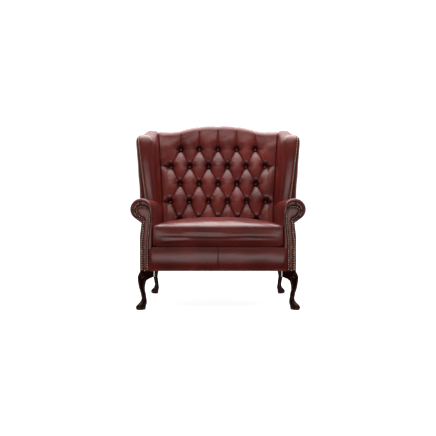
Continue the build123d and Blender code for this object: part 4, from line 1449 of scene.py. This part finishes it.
@dataclass
class Arm(Upholstery):
    """One rolled arm: roll and inside, pleated end, nailed facing and outside panel."""

    facing_y: float = 8.0
    nose: float = 14.0
    crease: float = 18.5
    around: int = 260
    lengthwise: int = 120
    end_rows: int = 60
    seat_lap: float = 9.0
    rear_inset: float = 7.0
    rail_cover: float = 14.0
    rail_cover_z: float = 503.0
    crown: float = 1.2
    crease_depth: float = 3.4
    puff: float = 4.0
    pleat_depth: float = 3.0
    pleat_width: float = 3.4
    edge_round: float = 4.0
    facing_swell: float = 3.8
    nail_inset: float = 5.5
    pleat_turns: tuple[float, ...] = (151.0, 83.0, 10.0, -39.0)

    def build(self) -> None:
        """Makes the pieces of the arm."""
        self.pad()
        self.facing()
        self.outside()

    def profile(self, radius: float) -> Array:
        """The arm's outline in width and height for a roll of that radius, from the seat up and over.

        Args:
            radius: The roll's radius.

        Returns:
            The outline's points.
        """
        form = self.form
        centre = np.array([form.arm_inner + radius, form.arm_top - radius])
        join = np.array([form.join_x, form.join_z])
        away = join - centre
        low_turn = math.atan2(away[1], away[0]) + math.acos(radius / np.hypot(*away))
        straight, under = int(self.around * 0.36), int(self.around * 0.10)
        turns = np.linspace(math.pi, low_turn, self.around - straight - under + 1)[1:]
        upright = xyz(form.arm_inner, np.linspace(form.deck_z - self.seat_lap, centre[1], straight))
        arc = centre + radius * xyz(np.cos(turns), np.sin(turns))
        tail = arc[-1] + (join - arc[-1]) * np.linspace(0, 1, under + 1)[1:, None]
        return np.concatenate([upright, arc, tail])

    def end_inner(self) -> Array:
        """The inner edge of the pleated end, just under the facing, paired with the profile's points.

        Returns:
            The edge's points.
        """
        form = self.form
        line = FacingOutline(form).inset(2.0)
        first = line[:600]
        start = np.argmin(np.abs(first[:, 1] - (form.deck_z - self.seat_lap)))
        middle = np.argmin(np.abs(first[:, 1] - 520) + 1e3 * (first[:, 0] > 385))
        later = (np.arange(len(line)) > 700) & (line[:, 1] < 500)
        end = np.argmin(np.where(later, np.abs(line[:, 1] - 472), FAR))
        straight = int(self.around * 0.325)
        return np.concatenate([evenly(line[start:middle + 1], straight),
                               evenly(line[middle:end + 1], self.around - straight + 1)[1:]])

    def roll(self) -> list[Array]:
        """The rows of the roll and the arm's inside, from the rear to the front.

        Returns:
            One row of points for each depth.
        """
        form = self.form
        rear_y = form.back_y(form.arm_top, -form.back_thick + 8)
        start_y = self.facing_y + 2.0
        rows = []
        for share in np.linspace(1, 0, self.lengthwise):
            y = mix(start_y, rear_y, share)
            radius = mix(form.roll, form.roll_rear, (y - self.facing_y) / (rear_y - self.facing_y))
            x, z = self.profile(radius).T
            under = self.rail_cover * bell(z - self.rail_cover_z, 30.0) * smooth(form.join_z, form.join_z + 14, z)
            x = x + np.where(x > form.arm_inner + radius, under, 0.0) * smooth(0.25, 0.9, share)
            crown = self.crown * np.sin(np.pi * np.clip((z - 340) / 200, 0, 1)) * np.sin(np.pi * share)
            x = x - np.where(x < form.arm_inner + 1, crown, 0)
            rows.append(xyz(x, mix(start_y, form.rear_y(z, self.rear_inset), share), z))
        return rows

    def pleats(self, outer: Array) -> Array:
        """How near each point of the end's outline lies to a pleat, 0 to 1.

        Args:
            outer: The end's outline.

        Returns:
            1 on a pleat, falling to 0 beside it.
        """
        form = self.form
        turn = np.degrees(np.arctan2(outer[:, 1] - form.roll_z, outer[:, 0] - (form.arm_inner + form.roll)))
        gaps = [np.radians(np.abs((turn - place + 180) % 360 - 180)) * 42 for place in self.pleat_turns]
        return bell(np.min(gaps, axis=0), self.pleat_width)

    def pad(self) -> None:
        """Makes the roll with the inside of the arm, the pleated end round the facing and the closed rear end."""
        form = self.form
        grid = self.roll()
        fold = [np.zeros(self.around)] * len(grid)
        outer, inner = self.profile(form.roll), self.end_inner()
        width = np.hypot(*(outer - inner).T)
        wide = smooth(22.0, 34.0, width)
        pleats = self.pleats(outer)
        nose = np.minimum(self.nose, 0.40 * width)
        for share in np.linspace(0, 1, self.end_rows)[1:]:
            away = share * width
            rounded = nose - np.sqrt(np.maximum(nose ** 2 - np.maximum(nose - away, 0) ** 2, 0))
            crease = bell(away - self.crease, 2.4) * wide
            ring = np.clip((away - self.crease) / (width - self.crease - 1.5), 0, 1)
            puff = np.sqrt(np.maximum(1 - (2 * ring - 1) ** 4, 0)) * wide
            depth = self.facing_y + 2.0 - self.nose + rounded * self.nose / nose
            depth += self.crease_depth * crease - self.puff * puff * (1 - 0.75 * pleats)
            depth += self.pleat_depth * pleats * wide * smooth(0, 0.1, ring)
            depth += smooth(0.0, 1.0, ring) * wide + 9.0 * smooth(-5.0, 0.0, away - width)
            place = outer + (inner - outer) * share
            grid.append(xyz(place[:, 0], depth, place[:, 1]))
            # Painted shade in the crease round the end, in its pleats and against the facing.
            dark = 0.45 * crease + puff * pleats * 0.45 + 0.7 * smooth(-3.0, -0.5, away - width)
            fold.append(np.clip(dark, 0, 1))
        middle = np.array([form.arm_inner + form.roll_rear, 0.0, form.arm_top - form.roll_rear])
        cap = grid[0] + 0.7 * (middle - grid[0]) * (1.0, 0.0, 1.0)
        cap[:, 1] = form.rear_y(cap[:, 2], self.rear_inset)
        points = np.array([cap] + grid)
        points += 0.5 * ripple(points, 70.0, 31)[..., None] * (0.4, 0.3, 1.0)
        skin = Skin(self.side.named("arm"))
        # The closed rear end gets full painted shade.
        skin.add(points[::-1], np.array([np.ones(self.around)] + fold)[::-1])
        self.dress(skin, self.side.named("arm_pad"), fill=0.9)

    def facing(self) -> None:
        """Makes the padded facing and its border of nails."""
        form = self.form
        outline = FacingOutline(form)
        flat = between(*outline.rails(220), 44)
        x, z = flat[..., 0], flat[..., 1]
        edge = outline.line(500)
        gap = to_line(flat, np.concatenate([edge, edge[:1]]))
        depth = self.edge_round * (1 - round_edge(gap, self.edge_round))
        depth -= self.facing_swell * round_edge(gap - 8.0, 18.0)
        depth += 0.3 * ripple(xyz(x, 0.0, z), 30.0, 41)
        points = np.pad(xyz(x, depth, z), ((1, 0), (1, 1), (0, 0)), mode="edge")
        for wall in (points[0], points[:, 0], points[:, -1]):
            wall[:, 1] = self.facing_y + 4.0
        # Painted shade along the facing's edge and in a groove under its nails.
        dark = np.exp(-gap / 2.2) * 0.8 + 0.85 * bell(gap - self.nail_inset, 4.2, 4)
        skin = Skin(self.side.named("facing"))
        skin.add(points, np.pad(np.clip(dark, 0, 1), ((1, 0), (1, 1)), mode="edge"))
        self.dress(skin, self.side.named("arm_facing"), fill=0.9)
        x, z = outline.inset(self.nail_inset).T
        border = xyz(x, 0.6, z)[z > form.frame_low + 4]
        foot = xyz(np.linspace(x[0] + 10, x[-1] - 10, 20), 0.6, form.frame_low + 6.0)
        for name, line in (("facing_nails", border), ("foot_nails", foot)):
            row = NailRow(form, self.finishes, self.side, self.side.named(name))
            row.build(line, np.tile((0.0, -1.0, 0.0), (len(line), 1)))

    def outside(self) -> None:
        """Makes the outside arm panel, drawn tight with soft edges."""
        form = self.form
        heights = np.concatenate([form.frame_low + 6 * (1 - np.cos(np.linspace(0, np.pi / 2, 7))),
                                  np.linspace(form.frame_low + 8, form.join_z - 3, 60), [form.join_z]])
        rows = []
        for z in heights:
            front = self.facing_y + np.array([0.0, 0.8, 2.5, 5.0])
            y = np.concatenate([front, np.linspace(self.facing_y + 8, form.rear_y(z, 8.0), 90)])
            edge = np.minimum(y - y[0], min(z - form.frame_low, form.join_z - z))
            x = form.frame_half - 5.0 + 5.0 * round_edge(edge, 5.0) - 7.0 * smooth(385.0, form.join_z, z)
            rows.append(xyz(x, y, z))
        points = np.array(rows)
        points[..., 0] += 0.5 * ripple(points, 150.0, 51)
        points = np.pad(points, ((1, 1), (1, 1), (0, 0)), mode="edge")
        for edge in (points[0], points[-1], points[:, 0], points[:, -1]):
            edge[:, 0] = form.frame_half - 20.0
        skin = Skin(self.side.named("outside_arm_cover"))
        skin.add(points)
        self.dress(skin, self.side.named("outside_arm"))


@dataclass(frozen=True)
class Crease:
    """A long fold in the cushion's band, from one width and share of the height to another."""

    start_x: float
    start_share: float
    end_x: float
    end_share: float
    height: float
    width: float

    def rise(self, x: Array, share: float, tall: float) -> Array:
        """How far the fold stands out.

        Args:
            x: The widths to read it at.
            share: The share of the band's height.
            tall: The band's height.

        Returns:
            The height of the fold, with a hollow under it.
        """
        along = (x - self.start_x) / (self.end_x - self.start_x)
        line = mix(self.start_share, self.end_share, np.clip(along, 0, 1))
        window = smooth(-0.12, 0.25, along) * smooth(1.12, 0.75, along)
        gap = (share - line) * tall
        return self.height * window * (bell(gap, self.width) - 0.35 * bell(gap + 13, 8.0))


@dataclass
class SeatCushion(Upholstery):
    """The loose boxed cushion, crowned on top, with seams round both edges and long creases in its band."""

    half: float = 354.2
    narrowing: float = 7.7
    low: float = 340.4
    edge: float = 110.0
    front: float = 2.0
    crown: float = 42.0
    front_corner: float = 5.0
    rear_corner: float = 24.0
    waist: float = 2.5
    fullness: float = 8.0
    seam_round: float = 36.0
    bulge: float = 7.0
    side_bulge: float = 0.5
    nip: float = 1.6
    corner_lift: float = 11.0
    corner_drop: float = 2.0
    around: int = 760
    under_scales: tuple[float, ...] = (0.0, 0.2, 0.4, 0.6, 0.75, 0.86, 0.93, 0.965, 0.985)
    band_rows: int = 64
    least_move: float = 0.5
    most_move: float = 1.8
    crown_depths: tuple[float, ...] = (0.0, 0.12, 0.32, 0.55, 0.80, 1.0)
    crown_shares: tuple[float, ...] = (0.0, 0.46, 0.86, 1.0, 0.84, 0.34)
    creases: tuple[Crease, ...] = (
        Crease(-310.0, 0.60, 130.0, 0.50, 3.0, 18.0), Crease(30.0, 0.60, 320.0, 0.54, 2.6, 17.0),
        Crease(-310.0, 0.27, -150.0, 0.33, 2.6, 11.0), Crease(20.0, 0.32, 300.0, 0.29, 1.2, 12.0),
        Crease(-190.0, 0.74, 40.0, 0.70, 1.6, 8.0),
    )

    def __post_init__(self) -> None:
        """Works out the depth of the rear edge and the height of the upper seam."""
        self.rear = float(self.form.back_y(self.low, 16.0)) - 3.0
        self.top = self.low + self.edge

    def outline(self) -> Array:
        """The plan outline: a rectangle with round corners, its sides drawn in between them.

        Returns:
            Points in width and depth, anticlockwise from the front middle.
        """
        points = []
        corners = ((1, self.front, 1, -90), (1, self.rear, -1, 0), (-1, self.rear, -1, 90), (-1, self.front, 1, 180))
        for side, edge, inward, start in corners:
            corner = self.front_corner if inward > 0 else self.rear_corner
            for turn in np.radians(np.linspace(start, start + 90, 24)):
                points.append((side * (self.half - corner) + corner * math.cos(turn),
                               edge + inward * corner + corner * math.sin(turn)))
        points.append(points[0])
        line = evenly(np.array(points), self.around + 1)[:-1]
        line = np.roll(line, -int(np.argmin(np.abs(line[:, 0]) + 1e3 * (line[:, 1] > 100))), axis=0)
        across = np.clip(np.abs(line[:, 0]) / self.half, 0, 1)
        deep = np.clip(line[:, 1] / self.rear, 0, 1)
        line[:, 0] *= 1 - self.narrowing / self.half * deep
        line[:, 0] -= np.sign(line[:, 0]) * self.waist * np.sin(np.pi * deep) * smooth(0.9, 1.0, across)
        return line

    def lift(self, x: Array, y: Array) -> Array:
        """Height of the crown over the top edge at a place in plan.

        Args:
            x: The width.
            y: The depth.

        Returns:
            The height.
        """
        across = np.clip(np.abs(x) / self.half, 0, 1)
        shares = np.array(self.crown_shares)[:, None]
        along = cubic(shares, np.array(self.crown_depths), np.clip(y / self.rear, 0, 1))[:, 0]
        return self.crown * along * (1 - across ** 2.4)

    def pillow(self, x: Array, y: Array) -> Array:
        """How full the top is near its seams, 0 at a seam and 1 well inside."""
        half = self.half - self.narrowing * y / self.rear
        return math.prod(round_edge(gap, self.seam_round) for gap in (half - np.abs(x), y - self.front, self.rear - y))

    def band(self, line: Array, share: float) -> Array:
        """One ring of the boxing.

        Args:
            line: The plan outline.
            share: How far up the band the ring lies.

        Returns:
            The ring's points, full at mid height, nipped in at both seams and creased in front.
        """
        full = math.sin(math.pi * share) ** 0.7
        nip = self.nip * bell(min(share, 1 - share) * self.edge, 2.0)
        x, y = line.T
        front = smooth(30.0, 0.0, y)
        corner = smooth(self.half - 40, self.half, np.abs(x))
        z = self.low + self.edge * share
        z = z + corner * (self.corner_lift * smooth(0.5, 0.0, share) - self.corner_drop * smooth(0.5, 1.0, share))
        y = y - front * (self.bulge * full * (1 - 0.35 * corner ** 3) - nip)
        x = x * (1 + (self.side_bulge * full - nip) / self.half * (1 - front))
        for crease in self.creases:
            y = y - front * crease.rise(x, share, self.edge)
        return xyz(x, y, z)

    def settle(self, points: Array) -> Array:
        """How the cover moves when it swells between its seams, from a simulation of every few points.

        Args:
            points: The cover's rings.

        Returns:
            The move of every point, small where the arms, the back and the deck are close.
        """
        count = len(points)
        first = len(self.under_scales)
        last = first + self.band_rows - 1
        rows = np.r_[1:first:2, first:last:4, last, last + 1:count - 1:3]
        cols = np.arange(0, self.around, 4)
        coarse = points[rows][:, cols]
        seam = (rows <= first) | (rows == last)
        moves = ClothSettling().moves(self.form, coarse, np.repeat(seam[:, None], len(cols), axis=1))
        in_front = smooth(60.0, 0.0, coarse[..., 1])
        in_front *= smooth(self.half - 2, self.half - 14, np.abs(coarse[..., 0]))
        on_top = smooth(self.top - 6, self.top + 4, coarse[..., 2])
        most = mix(self.least_move, self.most_move, np.maximum(in_front, on_top))
        length = np.linalg.norm(moves, axis=-1)
        moves *= (most * np.tanh(length / most) / np.maximum(length, 1e-6))[..., None]
        moves = np.concatenate([moves, moves[:, :1]], axis=1)
        across = np.array([read_at(row, np.append(cols, self.around), np.arange(self.around)) for row in moves])
        fine = [read_at(across[:, place], rows, np.arange(count)) for place in range(self.around)]
        return np.swapaxes(fine, 0, 1)

    def build(self) -> None:
        """Makes the cushion with its seams, and the creases that sitting leaves in the front of the band."""
        line = self.outline()
        centre = np.array([0.0, self.rear / 2])
        rings, fold = [], []
        for scale in self.under_scales:
            rings.append(xyz(*(centre + (line - centre) * scale).T, self.low + scale))
            fold.append(0.0)
        for share in (1 - np.cos(np.linspace(0, np.pi, self.band_rows))) / 2:
            rings.append(self.band(line, share))
            # Painted shade along the band's two seams.
            fold.append(0.75 * bell(min(share, 1 - share) * self.edge, 2.2))
        for scale in np.concatenate([[0.997, 0.992, 0.985, 0.976], 1 - np.linspace(0.034, 1.0, 62) ** 1.25]):
            x, y = (centre + (line - centre) * scale).T
            rings.append(xyz(x, y, self.top + (self.fullness * self.pillow(x, y) + self.lift(x, y))))
            # Painted shade along the top seam.
            fold.append(0.6 * bell((1 - scale) * 260, 2.0))
        points = np.array(rings)
        points[..., 2] += 0.9 * ripple(points, 95.0, 81) * smooth(self.top, self.top + 12.0, points[..., 2])
        points[..., 1] += (points[..., 2] - self.low) * self.form.rake * np.clip(points[..., 1] / self.rear, 0, 1)
        points += self.settle(points)
        skin = Skin("seat_cushion_cover")
        skin.add(points, np.array(fold)[:, None], closed=True)
        self.dress(skin, "seat_cushion", fill=0.8, body=Body.CUSHION)


@dataclass
class FrontBorder(Upholstery):
    """The padded border under the cushion, full at mid height, with a seam in the middle."""

    half: float = 375.5
    top: float = 336.0
    fullest: float = 0.42
    turn_in: float = 6.0
    face: float = 2.0
    swell: float = 13.0
    seam_depth: float = 3.0

    def build(self) -> None:
        """Makes the border and turns its top edge back over the rail."""
        form = self.form
        half = np.linspace(5, self.half, 130)
        x = np.concatenate([-half[::-1], np.linspace(-4.6, 4.6, 24), half])
        seam, draw = bell(x, 1.3), bell(x, 16.0)
        ends = round_edge(self.half - np.abs(x), 26.0)
        rows, fold_shades = [], []
        for share in np.linspace(0, 1, 60):
            reach = 1 - self.fullest if share > self.fullest else self.fullest
            swell = 1 - (abs(share - self.fullest) / reach) ** 2.2
            y = self.face - self.swell * swell * ends + self.seam_depth * seam + draw * swell
            rows.append(xyz(x, y, mix(form.frame_low, self.top, share)))
            # Painted shade on the middle seam and along the top, which lies under the cushion; the turned top and its
            # back keep that shade.
            fold_shades.append(0.8 * seam + 0.35 * smooth(0.93, 1.0, share))
        for turn in np.radians(np.linspace(15, 90, 8)):
            y = self.face + self.turn_in * math.sin(turn) + self.seam_depth * seam
            rows.append(xyz(x, y, self.top + 3.0 * math.sin(turn) - 1.5 * seam))
            fold_shades.append(0.8 * seam + 0.35)
        under, back = rows[0].copy(), rows[-1].copy()
        under[:, 1], back[:, 1] = 14.0, 40.0
        points = np.array([under, *rows, back])
        points[..., 1] += 0.7 * ripple(points, 120.0, 61) * smooth(0, 20, points[..., 2] - form.frame_low)
        skin = Skin("front_border_cover")
        skin.add(points, np.array([fold_shades[0], *fold_shades, 0.35 + 0 * x]))
        self.dress(skin, "front_border", fill=0.85)


@dataclass
class OutsideBack(Upholstery):
    """The outside back, upright below and raked above, drawn tight under the camel top."""

    crest_drop: float = 20.0
    soft: float = 8.0

    def build(self) -> None:
        """Makes the panel with its turned edges."""
        form = self.form
        u = np.concatenate([[-1.0], np.linspace(-0.994, -0.95, 8), np.linspace(-0.94, 0.94, 170),
                            np.linspace(0.95, 0.994, 8), [1.0]])
        foot = form.wing_x(form.back_y(form.arm_top, -form.back_thick), form.arm_top)
        tail = form.wing_x(form.back_y(form.wing_tail_z, -form.back_thick), form.wing_tail_z)
        knots = (form.join_z, form.arm_top, form.wing_tail_z)
        rows = []
        for share in np.concatenate([np.linspace(0, 0.02, 6), np.linspace(0.03, 0.97, 150), np.linspace(0.98, 1.0, 8)]):
            guess = mix(form.frame_low, form.saddle_z - 22.0, share)
            wide = np.interp(guess, knots, (form.frame_half, max(foot, form.frame_half), tail))
            x = u * wide
            top = form.crest_z(x) - self.crest_drop
            z = mix(form.frame_low, top, share)
            edge = np.minimum(np.minimum(wide - np.abs(x), z - form.frame_low), top - z)
            rows.append(xyz(x, form.rear_y(z, self.soft * (1 - round_edge(edge, 6.0))), z))
        points = np.array(rows)
        points[..., 1] += 0.8 * ripple(points, 190.0, 71)
        skin = Skin("outside_back_cover")
        skin.add(points[:, ::-1])
        self.dress(skin, "outside_back")


@dataclass(frozen=True)
class CarriedPieces:
    """The frame's own nodes that stay in view, each with the finish of its slot."""

    finishes: dict[Slot, bpy.types.Material]

    def build(self) -> None:
        """Gives every node the material of its slot in the record."""
        slots = {part["node"]: part["material_slot"] for part in frame["record"]["subparts"]}
        for name, node in frame["nodes"].items():
            finish = self.finishes[Slot(slots.get(name, Slot.LEATHER.value))]
            if not node.material_slots:
                node.data.materials.append(finish)
            for place in node.material_slots:
                place.material = finish
            for polygon in node.data.polygons:
                polygon.use_smooth = True
            LOG.info("%s: %s", name, finish.name)


def main() -> None:
    """Builds the studio and every piece of the seat, in order."""
    logging.basicConfig(level=logging.INFO, format="%(message)s")
    form = SeatForm(front_y=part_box("right_arm_facing")[0].y)
    finishes = {slot: finish.material(slot.value) for slot, finish in SEAT_FINISHES.items()}
    Studio().build()
    CarriedPieces(finishes).build()
    InsideBack(form, finishes).build()
    for side in Side:
        Wing(form, finishes, side).build()
        Arm(form, finishes, side).build()
    SeatCushion(form, finishes).build()
    FrontBorder(form, finishes).build()
    OutsideBack(form, finishes).build()


if __name__ == "__main__":
    main()
